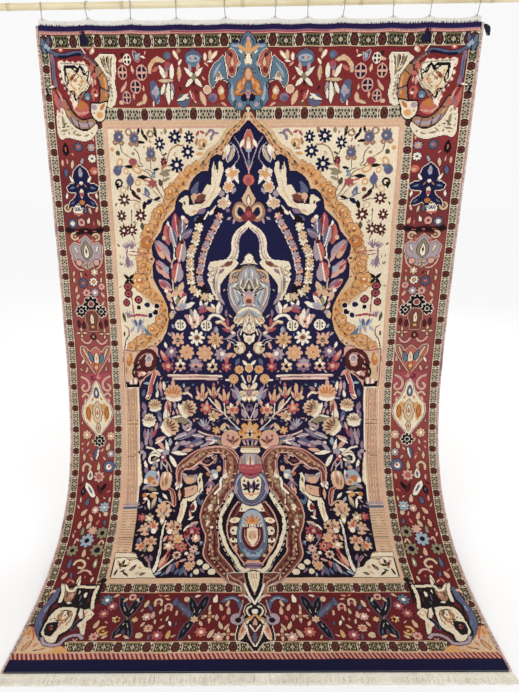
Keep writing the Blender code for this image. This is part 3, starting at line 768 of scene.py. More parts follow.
# Outside the arch: stems, leaves and small flowers on the light ground.
SPANDREL = """
# stems
line D 3 226,325 232,345 252,360 268,372 282,388
line D 3 270,335 281,352 284,375 290,388 250,388 234,386; line D 3 318,370 318,395
line D 3 275,420 300,418 318,425 332,445 344,466
line A 4 290,398 312,410 326,440 340,462 354,486 358,505
line A 4 352,396 366,380 372,356 384,336 402,328 420,328; line A 4 352,388 380,384
line D 3 348,338 354,352 364,364; line A 3 400,322 414,330; line D 3 300,396 318,402 330,420
line D 3 286,470 304,478 322,488 344,492; line A 3 300,440 320,456 340,480
line A 4 352,396 356,420 352,446 360,470; line M 3 246,488 262,490 280,496
line D 3 250,520 250,545 246,575; line D 3 222,560 228,576; line D 3 214,590 216,606
line D 3 226,590 226,600; line D 3 248,596 254,612; line H 3 232,660 256,664 284,658 310,656
line H 3 236,650 262,652 290,656; line A 3 262,640 272,658; line V 5 228,640 226,676 228,700
line H 4 236,800 238,840 240,870; line H 8 228,866 252,862 282,866
# leaves
tick K 284 285 11 12 1.2; 297 290 13 -14; 306 304 13 -30; 290 317 15 95 .9; 316 288 8 20 1.1
tick D 336 285 14 -15 1.1; tick E 367 286 10 0 1.6; tick A 415 286 10 0 1.6
tick K 252 388 18 92 .9; 292 420 20 90 .9; 262 470 16 -28 1.2; tick M 272 480 16 -48
tick K 292 506 16 10 1.2; tick N 308 494 14 50 1.5; tick K 336 484 14 70; 334 396 12 80
petal2 .ZY 326 410 13 24; tick D 346 436 13 -8 1.6; tick E 362 410 16 100 1.4; 362 404 22 70 .9
366 426 14 60; loop .K 216 438 14 -60; tick K 212 446 12 8 1.2; tick E 244 450 10 14 1.1
tick K 252 452 9; tick D 282 570 13 4 1.5; 206 870 18 -10 .9
# gold loops
loop .A 254 288 12 200; 320 294 12 190; loop .G 222 376 11 120 1.3; 240 402 9 60 1.2
274 398 12 30 1.4; 276 436 11 100; loop .C 228 458 11 140 1.2; 268 508 12 50
# flower heads
thistle AT.C 222 302 17 4 1.05; thistle AT.L 270 306 16 6; 319 350 16; ball VT 213 400 14 0 .85
petal TZ 222 392 10 60; ball VT 252 430 14 0 .75; petal TT 252 416 8
petal2 YTL 302 464 15 -14 1.2; ball AH 262 374 10 0 1.2; blossom AHH 322 438 12 0 1.2
tick S 300 430 10 100; rosette .MH 358 374 14 0 .8; tick S 356 388 10 40
aster .NNW 348 322 19 0 .85; 396 303 20; 440 305 18 0 .85; 434 346 20; 399 384 22
tick K 336 296 10 -24 1.2; tick D 362 352 9 70; tick V 504 286 10 60 1.4; 514 292 10 0 1.5
508 306 10 10 1.5; 524 294 8 90 1.4; tick H 480 290 10 120 1.2; tick A 494 296 9 40 1.2
tick H 466 294 10 30 1.2; tick A 462 318 12 10 1.2; loop CG 480 322 14 180
tick D 484 328 9 -10 1.4; tick A 474 338 10 100 1.1; tick G 470 352 14 80; aster .MMW 230 487 19
218 537 17 0 .9; 279 537 19; 222 583 18 0 .9; 248 582 18; spray .VL 226 634 14 -6
spray .VV 244 630 16 4; tick V 228 682 18 0 1.2; spray .VV 232 690 16 180; ball .L 240 686 6
cross KK 230 742 17; ball MM 225 766 12 0 1.1; eye .HM 225 766 9 0 1.2; ball MM 226 790 12 0 1.1
eye .HM 226 790 9 0 1.2; ball MM 218 820 12 0 .85; eye .HM 218 820 9 0 .9; ball MM 258 810 12
eye .HM 258 810 9; ball WK 257 836 8 0 .9; ball WN 286 828 9 0 1.1; ball WK 318 832 9; 312 853 10
ball WN 294 864 10 30 .8; ball WW 304 842 6; spray .VA 222 862 14 20
# blue grey leaf
line Y 9 232,880,6 240,892,12 256,900,16 270,908,14 280,922,6; tick T 244 888 14 -20
258 890 16 10; tick Y 268 886 12 24; 232 912 13 40 1.2; tick L 252 912 15 20; 266 918 14
area Z 274,906 300,933 278,932 272,918; line H 4 206,900 218,910 220,930; tick D 204 928 10
line K 4 218,934 208,952 202,980; line W 5 212,950 206,980
sprinkle .K/.D/.B/.T/.G/.M/.V/.A I tick/tick/curl/ball 6 15 204 560 286 960
"""

# Flower beds in the middle of the niche.
BEDS = """
# lotus, rosettes and daisies over the table
petal V 512 914 12 10; tick .Y 518 916 12 0 1.4; fleur NWX 398 826 30 36
tick .Y 406 832 24 76 1.2; ball .L 402 838 9 0 1.3; tick .W 432 826 16 70 1.2
tick .E 388 816 16 10 1.3; petal KP 368 830 13 -10; petal .W 372 838 7 150 1.4
tick .C 368 862 16 14 1.6; ball .L 376 854 7; tick .X 382 790 18 60 1.6
tick .C 362 792 14 -60 1.4; ball .W 352 780 6; lotus .PWHX 444 884 24 0 1.1
tick .W 448 862 20 -4 1.1; ball .P 418 868 7; 470 872 7; ball .M 444 888 4 0 1.2
tick .L 436 856 16 -16; tick .X 438 904 9 0 2; check NWED 396 898 19; 484 901 19
tick .Y 370 902 8 -20 1.4; tick .L 358 930 10 -50 1.2; blossom NXD 385 950 24 0 .95
tick .P 372 934 14 -30; ball XD 386 948 5; tick .P 398 934 12 30; daisy NXD 514 950 27 22 1.05
ball .G 514 954 13; ball .E 514 952 6; tick .W 512 974 10 0 1.2; daisy NWB 450 943 28
ball CB 451 943 7 0 1.2; gold NXGO 415 994 28 10 .95; gold NXGC 477 998 29 0 .98
rosette NVL 362 994 22; ball .W 363 990 7; tick .W 342 968 12 -14 1.2
rosette NLV 532 1002 23 0 .95; ball .W 536 1000 8; tick .V 530 1016 8 0 1.6; tick .P 560 972 16 20
petal NS 336 1006 24 -28; tick .P 332 1000 16 -30; tick .H 348 1020 10 0 1.4
blossom NHP 350 1044 20; ball .X 352 1042 6; tick .S 334 1042 12 -30 1.2; blossom NPK 392 1043 20
ball .W 384 1036 6; 400 1034 6; ball .K 392 1044 4; tick .W 392 1024 9 0 1.6
tick A 386 1014 10 -10 1.6; rosette NVP 446 1040 26; ball .L 444 1028 9 0 1.6; ball .P 434 1042 7
ball .K 446 1046 5; ball .P 460 1042 7; blossom NCK 502 1046 20; ball .W 494 1040 6
ball .K 502 1050 4; tick .W 506 1026 10 10 1.4; blossom NHS 552 1046 18; ball .X 554 1046 6
petal .X 562 1004 16 60 1.4; tick .P 578 1006 10 40 1.4; tick .S 552 1022 14 10 1.4
# three bright leaf sprays beside the vase foot
fleur NWP 476 836 20 40; tick NH 478 846 24 66; tick .V 470 836 18 60; tick NX 504 846 24 112
tick NW 526 842 26 8 .9; tick .L 534 844 18 16; tick .W 508 834 12 -40 1.2
line NW 10 492,880 500,868 516,864 532,870 542,880
line NX 11 520,890 534,888 548,898 560,912 570,922; line .W 5 518,888 534,886
tick NH 556 888 16 -6; tick .V 552 858 14; tick NX 572 906 14 40 1.2; tick .H 552 916 18 116 .9
tick .W 576 926 8 80 1.4
# table
line NP 9 350,1077 535,1080; line W 3 352,1075 534,1078; line NP 9 366,1088 520,1090
line W 3 368,1088 516,1090; line L 2 366,1083 520,1085; tick .W 530 1080 9 90 1.2
# column of flowers under the vase
line P 4 634,972 634,1000 636,1030; petal KP 634 1000 22; ball .W 634 1004 8 0 1.6
tick .W 616 1032 13 -44 1.2; 636 1024 14 0 1.4; ball WG 636 1050 15 0 1.1; ball .O 636 1046 6
petal .W 636 1066 7 180 1.2; rosette XG 596 1056 14; ball .O 598 1054 5
tick .T 590 1028 14 30 1.4; line W 6 606,1078 612,1092 618,1104; petal WS 630 1088 12 -14
tick .R 636 1084 12 0 1.2; ball XG 577 1090 15 0 .95; ball .C 577 1090 8; ball .O 577 1090 4
tick .W 556 1094 9 90 1.4; daisy DCG 637 1142 38 0 .95; petal WI 636 1116 14 0 .9
tick WI 614 1118 15 -34 1.4; ball WC 606 1142 8 0 1.1; ball GW 614 1160 8; ball WW 636 1164 7
ball .A 618 1130 5 0 1.2; ball .E 614 1150 4 0 1.2; ball AV 637 1140 13; ball .L 637 1140 8
ball .M 637 1141 4; line L 4 578,1110 584,1130 594,1160 606,1190; tick .L 590 1140 22 -8
tick .V 580 1148 18 -20 1.2; tick .Y 598 1158 16 0 1.2; tick .L 576 1132 12 -60
tick .P 592 1176 12 10 1.4; line P 4 637,1178 637,1210 638,1244
line W 3 608,1180 618,1206 632,1240; area VN 626,1186 618,1200 630,1226 636,1230 636,1186
tick .V 626 1200 10 0 1.6; tick .L 612 1216 20 -20 1.2; line P 4 640,1246 626,1240 606,1236
# lilies and leaves on the left
line WS 12 304,1064 296,1088 288,1110 286,1130 276,1156
line H 4 304,1076 294,1100 292,1130 282,1152; tick .P 312 1066 16 -40 1.2; tick .Y 274 1104 12 90
tick .W 276 1150 9 60; tick .T 262 1140 14 14 1.3; tick .L 310 1116 18 4 .8
tick .P 322 1116 20 0 .8; tick .W 334 1114 18 -4 .9; petal KW 310 1142 14 10; tick .V 326 1142 14
tick .L 332 1160 10 80; lily NXOW 367 1142 33; petal XP 366 1104 12; tick .X 386 1122 8 40 1.2
line X 4 400,1142 414,1136 428,1146 432,1160; line W 5 404,1144 416,1142 428,1152
tick XV 416 1126 9 60 1.2; tick .Y 404 1114 9 0 1.4; tick .A 450 1130 14
lily NCBW 414 1198 34 60 .9; tick .E 408 1190 12 20 1.3; tick .W 386 1192 16 -10
tick .P 378 1208 12 -20; tick .L 370 1184 14; tick .P 364 1212 9 0 1.4
plume NPWB 344 1200 34 0 .85; tick .W 336 1220 26 6 .9; tick .R 350 1198 20 -6 .7
tick AX 352 1178 12 -20; lily NCAW 300 1186 24 -6; lily NIAW 278 1240 25; lily NCBW 350 1262 34 56
tick .A 346 1254 12 10 1.2; tick .E 392 1236 24 86 1.3; tick KW 376 1226 20 80 .6
tick .E 408 1244 18 60; line W 3 360,1228 386,1222 410,1232 424,1246; tick .V 262 1190 18 -10 1.4
tick .L 262 1210 12 40 1.2; tick .T 314 1222 20 -10 1.2; tick .L 316 1234 12 -20 1.2
tick .V 258 1220 14; tick .P 410 1262 14 40; tick .L 402 1266 14 -30 1.2; tick .W 418 1272 12 60
tick .L 424 1256 16 20; tick .T 398 1288 16 50; tulip NXSC 468 1146 26 4 .95
tick XX 470 1124 16 0 .9; ball .C 452 1158 7 0 1.2; tulip NCSH 508 1136 26 0 .95
tick .S 508 1112 9 0 1.6; tulip NXGH 545 1154 28 -6 .85; ball .H 552 1174 8 0 1.2
ball .P 530 1156 6; blossom NSX 481 1196 22 10; tick .P 484 1178 10 0 1.4
tick .H 478 1206 6 0 1.4; blossom NXS 572 1202 22; tick .W 568 1186 10 0 1.4
tick .S 590 1202 10 0 1.8; tick NC 522 1186 26 -24; line W 4 490,1158 506,1178 532,1206 546,1218
line P 4 500,1196 520,1204 540,1216 552,1224
line W 4 545,1180 546,1200 548,1220 562,1240 584,1262 604,1280; blossom NCE 506 1224 20
ball .G 512 1222 7; tick .W 498 1236 9 60 1.2; tick .P 528 1220 14 80 .8
tick .L 556 1232 18 80 .7; tick .E 578 1232 12 0 1.2; tick .P 590 1244 12 0 1.2
spray .LV 472 1254 22 -6 .9; tick .Y 466 1248 16 -24; ball .V 486 1266 10; ball .L 488 1268 5
blossom NGX 515 1276 14 10 1.1; petal NC 540 1262 16 30 1.4; tick .W 546 1282 12 20 1.3
tick .P 558 1262 16 -50 .8; tick .T 574 1272 18 -50 1.2; tick .Y 588 1270 10 -50 1.2
line P 6 452,1278 480,1290 510,1296 540,1300; line W 3 454,1280 482,1291
# lilac leaves lying in a band
plume .LTW 392 1296 30 70 .9; plume .VTL 424 1286 26 50 .9; plume .LVW 452 1296 24 100 .9
plume .TLV 446 1318 30 70; plume .LVW 500 1310 30 100; tick .T 520 1306 20 120 .9
tick .E 528 1320 16 140 1.2; tick .L 402 1320 26 84; tick .V 424 1330 22 80 .9; ball .W 376 1322 6
ball .P 428 1330 5; tick .L 478 1326 18 60; tick .W 500 1320 14 60 .8; ball .N 410 1310 6 0 1.4
470 1306 6 0 1.4; ball .L 464 1332 6; tick .K 360 1304 10 -30 1.2; tick KV 264 1290 22 0 .8
tick .L 274 1292 24 4 .6; tick .V 286 1290 24 8 .8; tick .H 298 1284 20 26 .8
tick .L 268 1316 16 0 1.2; tick .V 284 1318 16 -6 1.2; tick .P 304 1262 16 20 .9
tick .T 318 1256 16 30 .9; tick .W 316 1304 14 70
# pink rosette discs each side of the gold one
ball KX 566 1310 36 0 .95; ball .P 562 1308 27; fleur .BA 574 1315 17 0 1.1
tick .B 556 1296 6 0 1.6; line W 3 548,1334 570,1338 594,1334; rosette KGX 637 1286 44
ball .X 637 1290 26; rosette GC 637 1288 19; ball DK 637 1288 9 0 1.2; ball .W 628 1282 3
626 1292 3; 636 1278 3; ball .O 618 1286 6; tick .X 634 1310 8 0 1.6; ball .O 604 1280 7 0 .8
sprinkle .L/.T/.V/.P/.C/.Z N tick/tick/petal 6 15 300 640 770 1120
"""

# The scrolled bracket under the foot of the arch.
BRACKET = """
area KP 200,985 236,990 268,986 288,974 306,970 316,980 314,1020 308,1050 292,1068 270,1084
    258,1100 250,1116 200,1118
area XC 204,1000 240,994 250,1010 240,1040 236,1070 226,1096 204,1100; petal AO 218 1018 22 10
petal .G 216 1012 13 10; line G 4 206,1040 212,1060 222,1072; tick .X 210 1070 14 10
tick .A 206 1056 14 0 .6
line KMM 11 240,1054 242,1030 250,1008 264,995 284,990 300,998 305,1018 300,1042 284,1054
    266,1048 262,1028 270,1012
line P 3 246,1050 248,1030 255,1012 268,1001 284,997 295,1005 298,1020; ball WL 284 1016 12 0 .85
tick .V 284 1012 7 0 .9; line KM 9 276,1060 258,1054 244,1062 238,1076 246,1088 258,1084
line K 7 250,1036 236,1046 228,1062 230,1080; line K 5 292,1058 278,1070 266,1080
line M 6 256,1024 240,1022 232,1032; ball .P 252 1072 6 0 1.2; ball .S 246 1064 4 0 1.2
ball .W 266 1068 5; tick .P 284 1064 10 60 .7; tick .C 262 1092 7 30; ball KP 236 1092 8 0 1.1
area K 202,1098 212,1100 214,1108 240,1108 243,1098 248,1098 248,1116 204,1118
petal .W 220 1098 10 0 1.1; 235 1098 10 0 1.1; tick .V 228 1100 8; line W 3 206,1122 248,1120
"""

# Lower part of the niche, down to the border.
LOWER_FIELD = """
# pale leaf star and curls on the left
tick NW 342 1334 26 -12 .7; tick NL 372 1338 24 40 .8; tick NW 384 1356 30 96 .7
306 1352 30 72 .8; tick NP 318 1326 24 -44 .9; tick NW 364 1386 28 -30 .8; tick NL 330 1372 20 24
tick .Y 338 1352 16 60 1.4; ball .L 340 1354 8 0 1.2; tick NX 412 1346 22 80 .9
tick .P 320 1304 20 70 .9; tick .W 314 1314 20 60 .6; tick .Y 352 1316 14 0 1.4
line KW 7 270,1336 290,1340 304,1352 318,1362
line KW 8 312,1366 298,1362 284,1366 280,1380 286,1390 300,1388 314,1380; tick E 300 1376 12 60
tick KW 268 1396 16 -14; tick .L 262 1366 16 20; ball .K 247 1352 6 0 1.2
ball .L 254 1352 7 0 1.2; tick .V 252 1330 16 0 1.2; tick NH 330 1374 16 -30 1.3
ball .W 328 1370 5; line W 3 322,1386 338,1404 348,1426; line P 4 336,1378 350,1398 358,1420
ball KL 302 1398 11 0 .9; tick .T 300 1404 12 0 1.2; ball .X 294 1410 8; tick .L 322 1400 16 0 .7
tick .V 270 1416 12 0 1.8; tick .L 342 1400 12 0 .8
# two big round blossoms
ball NY 292 1444 28; ball .O 286 1448 13; tick .Y 300 1432 16 70 1.3; ball .X 300 1460 12 0 1.2
ball .W 268 1454 9 0 .8; ball .A 298 1460 6; tick .L 270 1474 14 60 1.3; tick E 290 1480 20 100
tick .W 304 1494 14 96 .7; 274 1498 12 80 .8; ball .O 268 1502 8; ball .G 296 1502 8 0 1.4
ball .W 272 1514 5 0 1.6
area NX 326,1424 344,1420 358,1430 360,1452 352,1478 340,1484 326,1482 318,1462 320,1440 round
tick .W 334 1432 12 10; 352 1436 12 -6 .8; tick .A 340 1454 18 0 .9; 328 1462 14 -10 .8
tick .C 350 1462 14 8 .9; tick .H 308 1436 12 20 1.2; tick .W 312 1426 9 0 1.2
line PR 7 352,1480 364,1488 370,1508 372,1534; line .X 4 356,1490 360,1506 366,1530
tick KX 388 1500 20 0 .7; tick .K 376 1478 12 -10 1.2; tick NE 300 1528 22 20
tick .C 302 1520 18 22 .8; tick NW 284 1532 18 -10 .8; tick .W 338 1506 14 -42
tick .Y 322 1520 12 -30 1.2
# bowl and plants beside the arch
area BL 394,1428 420,1436 446,1430 450,1440 442,1456 416,1460 404,1452 round
ball .X 422 1450 13 0 1.3; tick .E 426 1436 12 90 1.3; line W 3 396,1426 410,1432
line P 4 398,1418 412,1412 434,1412 450,1402; ball NY 506 1430 17 0 .9; ball .W 512 1436 9
ball .X 524 1410 10 0 .8; ball .G 522 1414 6 0 .9; ball NO 488 1428 8; tick .L 500 1444 12 60 1.2
spray .VP 494 1462 20 180 .9; ball .P 488 1484 7; tick .X 496 1474 10 0 1.2; tick .P 484 1494 9
tick KY 470 1358 14 40; ball .P 484 1362 7 0 1.2; curl KY 492 1352 12 30 1.2
tick .E 512 1350 12 50 1.2; tick .W 486 1366 10 80; curl .P 506 1368 10 -20
tick DE 510 1386 12 40; ball ZT 466 1516 18 0 .9; ball .N 468 1510 13; tick .Z 468 1522 10 60 1.2
# deer
area KI 458,1424 466,1428 464,1442 470,1462 470,1484 460,1496 448,1504 440,1516 428,1522 414,1520
    414,1536 408,1560 402,1584 396,1602 384,1604 384,1580 390,1556 392,1530 400,1514 424,1508
    440,1500 452,1488 452,1466 448,1444
tick D 458 1450 10 8; tick .E 458 1486 12 20 .6; tick .C 396 1560 22 10 .6; tick .E 398 1534 6
area .X 404,1476 420,1472 446,1468 450,1486 438,1498 408,1508 402,1498 round
tick .P 422 1484 18 70 .8; tick .A 432 1480 8 40; tick KM 402 1492 16 0 .6
petal2 KWR 438 1538 22 14 1.2; petal .R 432 1542 14 20; tick KP 426 1566 14 -10 .9
tick .W 430 1580 12 60; ball .W 384 1466 12 0 1.1; tick KW 380 1474 12 20 1.2
tick .P 390 1452 10 -10 1.2; tick KC 438 1602 22 62; tick .L 440 1604 16 60
tick .W 416 1614 14 40 .9
# scroll arch joining the medallion's frame
line KPPB 0 386,1452,12 384,1424,15 396,1402,24 420,1388,34 444,1372,38 464,1358,30 492,1346,18
    530,1344,18 558,1356,30 570,1380,42 570,1414,44 562,1444,40 548,1470,46 524,1500,50
    504,1530,56 492,1566,56 492,1600,46 502,1636,38 504,1670,42 504,1704,46 522,1730,44
    546,1758,42 572,1790,34 588,1806,16
line M 0 498,1612,16 502,1640,20 504,1670,26 504,1704,30 522,1730,28 546,1758,26 568,1784,18
line A 0 400,1404,6 444,1374,14 470,1358,8
line A 0 566,1384,12 566,1414,16 556,1446,12 540,1474,16
line K 26 572,1506 558,1530 548,1560 542,1594 544,1626 554,1660 574,1700 594,1734 612,1756
line P 3 380,1470 378,1436 388,1408 416,1386 440,1362 470,1344 500,1337 540,1338 566,1352
    586,1376 592,1400
line KP 7 404,1412 428,1408 446,1394 458,1386 468,1396 484,1412 492,1424
line W 3 440,1400 456,1388; line KP 5 462,1392 486,1398 506,1384 514,1372; tick B 420 1396 14 70
curl .G 436 1382 8 90 1.2; tick .B 448 1364 12 40 1.2; 482 1384 12 80 1.2
ball .P 458 1388 6 0 1.2; curl BA 556 1376 10 30 .9; tick .M 550 1374 10 -20 .9
tick .P 540 1366 9 -10 1.2; line P 3 530,1362 540,1380 542,1400 540,1430 546,1446
tick .B 560 1404 14 20 1.2; tick .W 550 1430 14 -10 .8; tick .C 548 1424 10 20; ball .W 544 1438 7
tick .X 574 1432 12 70 1.2; 572 1452 14 80 .9; tick .B 556 1470 18 10
line P 3 566,1446 562,1470 566,1484; line KW 8 534,1444 530,1456 530,1474 518,1488 510,1496
tick .E 540 1456 10 -10 1.2; tick .K 534 1480 6 0 1.2; tick .E 524 1498 14 20 1.3
tick .B 536 1512 14 0 .9; line W 3 520,1500 522,1522 522,1546
line P 3 560,1486 548,1504 538,1526 526,1544; petal .E 506 1520 16 30; ball .I 496 1544 11 0 .9
tick .C 516 1550 10 20 .9; curl .B 482 1562 12 90 1.3; tick .B 500 1574 14 60
tick .E 486 1582 12 -20 1.2; tick .I 488 1596 16 24 .9; ball .W 500 1612 5; tick .B 504 1640 20 -8
ball .P 498 1634 4; tick .B 502 1664 14 10 1.4; ball .P 500 1680 5; tick .B 506 1702 18 0 1.3
ball .P 508 1696 4; 512 1722 4; tick .E 526 1722 9 -20; tick .B 540 1744 18 -50 1.2
562 1772 20 -30 1.2; ball .P 556 1762 4; tick .C 570 1786 8; line C 3 576,1766 580,1784 584,1796
# inner bands of the medallion
area KPM 640,1500 604,1520 586,1546 568,1576 562,1604 564,1640 578,1678 598,1708 616,1742
    628,1758 640,1760 round
line KWK 14 566,1500 556,1522 544,1542 532,1566 526,1594 528,1622 538,1648 546,1672 560,1700
    578,1722 590,1748 604,1762 626,1774
line I 12 567,1502 556,1524 545,1543 534,1566 528,1594 530,1622 540,1648 548,1672 562,1698
    580,1722 592,1748 606,1762 626,1773
chain .K ball 4.5 21 548,1514 534,1540 524,1566 518,1594 520,1622 530,1650 540,1676 552,1702
    568,1724 582,1750
chain .K tick 5 33 560,1524 548,1546 540,1570 536,1594 538,1622 548,1648 556,1670 572,1700
tick .K 558 1508 6 40 1.4; 536 1536 7 60 1.3; tick .D 554 1534 5 60 1.2; tick .K 522 1586 6 90 1.2
522 1622 6 90 1.2; tick .D 536 1578 5 0 1.2; tick .K 532 1664 6 60 1.4; 536 1690 7 50 1.4
556 1718 7 40 1.6; 576 1746 8 50 1.4
line M 20 598,1540 580,1566 566,1606 570,1640 584,1676 604,1706 622,1734
line KM 14 592,1544 576,1576 566,1606 570,1640 584,1676 604,1706 622,1734
line P 5 590,1526 572,1550 558,1580 552,1610 556,1644 572,1680 592,1712 612,1742
line B 8 596,1546 572,1590 566,1620 574,1652 590,1682 610,1712; petal KI 582 1588 22 80 1.1
ball .G 576 1588 5; ball KI 577 1624 15 0 .95; ball .K 572 1624 4; petal KI 579 1658 18 100 1.2
ball .K 574 1654 4; tick .X 584 1688 10 -10 1.2; ball .X 602 1710 6; ball .P 640 1722 10
tick .C 580 1680 12 40 .9; line KP 5 610,1742 622,1732 640,1734; line G 3 620,1728 640,1729
area PV 608,1742 620,1738 640,1738 640,1754 618,1754; line K 2 616,1746 640,1748
ball .D 616 1747 4; line W 3 618,1759 640,1760
area .I 640,1500 610,1520 600,1540 592,1560 640,1560; tick .D 602 1550 5 0 1.2
ball KZ 640 1638 88 0 .6; ball TY 640 1636 80 0 .58; ball .Z 640 1640 70 0 .6
ball VM 640 1636 58 0 .66; ball .Y 640 1584 30 0 1.25
area .M 640,1596 606,1610 604,1640 614,1668 640,1694; spray .OG 634 1590 20 0 1.4
tick .G 624 1590 7 0 1.3; tick .O 640 1584 14 0 .9; line G 5 612,1598 640,1599
line W 9 608,1607 640,1607; tick .K 612 1608 8 0 .8; 624 1607 9 0 .9; 640 1606 10; 632 1608 7 0 .6
618 1608 7 0 .6; area SI 620,1618 640,1616 640,1676 630,1668 620,1648 round
ball .X 636 1640 16 0 .8; tick .A 630 1644 8 20 .8; tick .S 640 1646 9
line P 3 612,1622 614,1650 626,1672 640,1680; tick .T 604 1676 16 -30; ball .Y 628 1708 8 0 1.6
tick .T 634 1702 10 60
# vase and bowl over the oval
ball KT 640 1474 66 0 .98; ball LY 640 1474 58 0 .98; ball KT 640 1478 52
area KI 640,1436 608,1438 600,1456 604,1484 614,1508 640,1516 round; tick .L 582 1482 18 8 1.2
ball .E 588 1474 3; fleur VNN 626 1474 16; tick .N 616 1482 10 80 1.2; 628 1490 9 -30 1.2
ball .D 612 1454 4; tick .X 616 1498 12 100 .9; petal .P 640 1474 20 0 .5
tick .W 640 1486 14 0 .9; tick .S 640 1502 12 90; tick .G 628 1498 8 60; ball KV 640 1398 48
ball VL 640 1398 44; area .H 592,1396 640,1396 640,1438 612,1436 600,1420 round
area .S 594,1398 640,1402 640,1412 596,1410; line M 3 602,1424 620,1430 640,1432
tick .E 604 1384 14 6 .7; tick .A 614 1382 18 4 .6; tick .Y 622 1382 20 2 .6
tick .C 630 1382 22 0 .5; tick .B 636 1382 22 0 .5; tick .W 626 1392 9 0 .6
tick .H 604 1400 14 80; 626 1404 16 84 .9; line L 3 600,1374 620,1364 640,1362
area KI 640,1338 602,1340 598,1352 608,1358 640,1356; line C 4 604,1344 640,1342
area KV 604,1312 612,1330 640,1334 640,1306; tick .K 620 1320 12 -20 .8; 632 1322 12 -6 .8
tick .P 614 1322 12 -26 .7; tick .L 626 1322 12 -12 .7; tick .P 640 1320 12 0 .8
line G 4 602,1336 640,1336
# trees
line KW 0 346,1590,5 340,1620,6 338,1660,7 337,1700,8 333,1740,10 326,1764,12 318,1772,8
line L 3 338,1640 339,1668 336,1720; rosette NCA 336 1554 28; ball .X 334 1550 18
tick .A 326 1554 10 -10; 344 1552 12 14; ball .V 338 1562 5; tick .G 336 1544 9
petal KC 334 1586 18 180 1.2; ball .W 334 1590 7; line X 5 318,1546 332,1526 352,1526 370,1540
blossom MXA 366 1608 20 0 .95; ball .C 360 1602 6; ball .W 364 1626 8 0 1.3
blossom KXM 388 1610 15; tick .C 382 1596 10 -40 1.2; ball KX 382 1630 11; tick .X 350 1650 13 24
tick .C 348 1654 9 24; blossom KSC 370 1648 13; rosette KXG 392 1652 20 0 .9; ball .G 392 1652 9
ball .C 388 1642 5; blossom KXC 366 1676 16 0 1.3; ball .W 362 1674 7; blossom MSX 408 1680 17
ball .C 400 1676 5; ball .M 408 1680 4; blossom MSS 392 1676 9
area KS 362,1696 372,1690 370,1714 358,1744 344,1758 344,1738 352,1714 round
tick .X 350 1728 24 26 .8; tick .R 366 1708 18 20 .7
line KW 5 384,1722 366,1740 350,1754 336,1772; rosette KPM 394 1708 15; ball WA 394 1708 9
ball .K 394 1708 4; ball .W 424 1703 6; rosette KPM 440 1716 15 0 .85; ball CK 440 1716 4
rosette KPX 446 1688 15; ball WK 446 1687 4; tick .P 414 1728 14 70 .9; ball .X 398 1740 8 0 .7
tick .S 398 1742 14 0 .8; rosette KXA 435 1748 17; ball .G 436 1746 6; tick .Y 460 1702 9 60 1.2
tick .P 450 1736 10 -20 1.2; petal KH 420 1636 20 0 1.2; ball .R 418 1632 8 0 1.2
tick .V 424 1648 10 0 1.6; blossom NHR 444 1624 18 0 1.1; ball .P 436 1626 6
rosette NXW 450 1650 14 0 1.1; tick .W 450 1644 9 0 1.4; tick .T 470 1668 10 30 1.4
ball .Y 468 1664 4; line L 3 418,1656 428,1668 436,1680; ball KI 469 1735 10; 489 1751 11
460 1768 10 0 .9; 508 1769 11 0 1.1; tick .V 478 1764 12 -40; tick KL 374 1758 22 24 .8
tick .T 386 1752 20 8 .9; 398 1768 14 30; tick KT 414 1766 18 20 1.2; tick .V 426 1772 12 -20
tick .Y 446 1780 8 0 1.2; tick KY 340 1772 14 60; tick .Z 358 1774 12 50 .8
# blossoms of the left tree
blossom KHX 266 1578 15; ball .S 266 1580 6; blossom KCW 290 1580 17 0 .9
tick .E 292 1570 9 0 1.4; blossom KXS 308 1608 20 0 .9; tick .S 304 1600 10 -20 1.2
ball .W 310 1624 9; blossom KXC 280 1614 18; tick .P 264 1620 11 60 1.2; tick .X 282 1634 16 90
ball .T 294 1618 6; tick .A 276 1610 8 80; tick .T 266 1662 14 -20 1.4; tick .L 270 1654 9 -30
blossom KXA 306 1660 18 0 1.1; tick .S 300 1656 10; ball .C 306 1686 10
blossom KXS 274 1678 16 0 1.2; ball .O 280 1674 6; tick .E 288 1686 12 0 1.4
tick .X 286 1658 14 10; line V 5 296,1712 308,1730 314,1752 322,1768
line P 3 292,1716 306,1736 314,1760; tick .V 312 1718 12 -20 1.3
# corner scroll under the base
area KC 198,1722 250,1722 262,1736 272,1758 292,1768 304,1752 326,1786 198,1786
ball KN 286 1744 20; area KV 199,1724 214,1724 216,1742 199,1756; tick KC 226 1738 16 -20 .9
line K 4 244,1726 250,1744 262,1754 272,1764; ball K 254 1740 6 0 1.3; ball .I 266 1738 9 0 1.3
line K 3 206,1756 220,1766 228,1776; tick E 210 1770 9 50 1.2
line M 6 214,1780 240,1776 262,1780 270,1786; ball KW 243 1780 6; tick .W 282 1782 9 90
tick .D 236 1752 9 -30 .8; line I 6 232,1760 252,1766 280,1778
area AI 198,1699 246,1699 262,1704 268,1718 198,1720; line A 2 199,1701 256,1702
line A 2 199,1717 262,1716
chain .A tick 9 21 400,1402 420,1388 444,1372 470,1352 530,1344 558,1356 572,1384 572,1414
    566,1444 552,1470 528,1500 508,1530 496,1566 490,1600 502,1636 506,1670 506,1704 524,1730
    548,1758 570,1790
chain .C ball 3 17 392,1408 414,1396 440,1380 466,1360 530,1350 554,1362 566,1388 564,1414
    556,1444 542,1470 520,1496 500,1526 488,1566 482,1600 494,1640 498,1674 498,1708 516,1736
    540,1764 562,1794
chain .M ball 4 29 580,1390 578,1420 572,1450 560,1474 538,1506 520,1534 510,1566 504,1600
    514,1640 518,1674 522,1710 540,1736 560,1760
# pendant under the medallion
area WKB 560,1776 600,1774 640,1776 640,1800 626,1810 622,1836 614,1858 604,1842 600,1816
    584,1808 566,1800
line P 4 564,1780 580,1794 596,1802 606,1822 608,1846
line M 3 574,1780 592,1790 606,1800 616,1820; tick .A 600 1788 14 70 .6
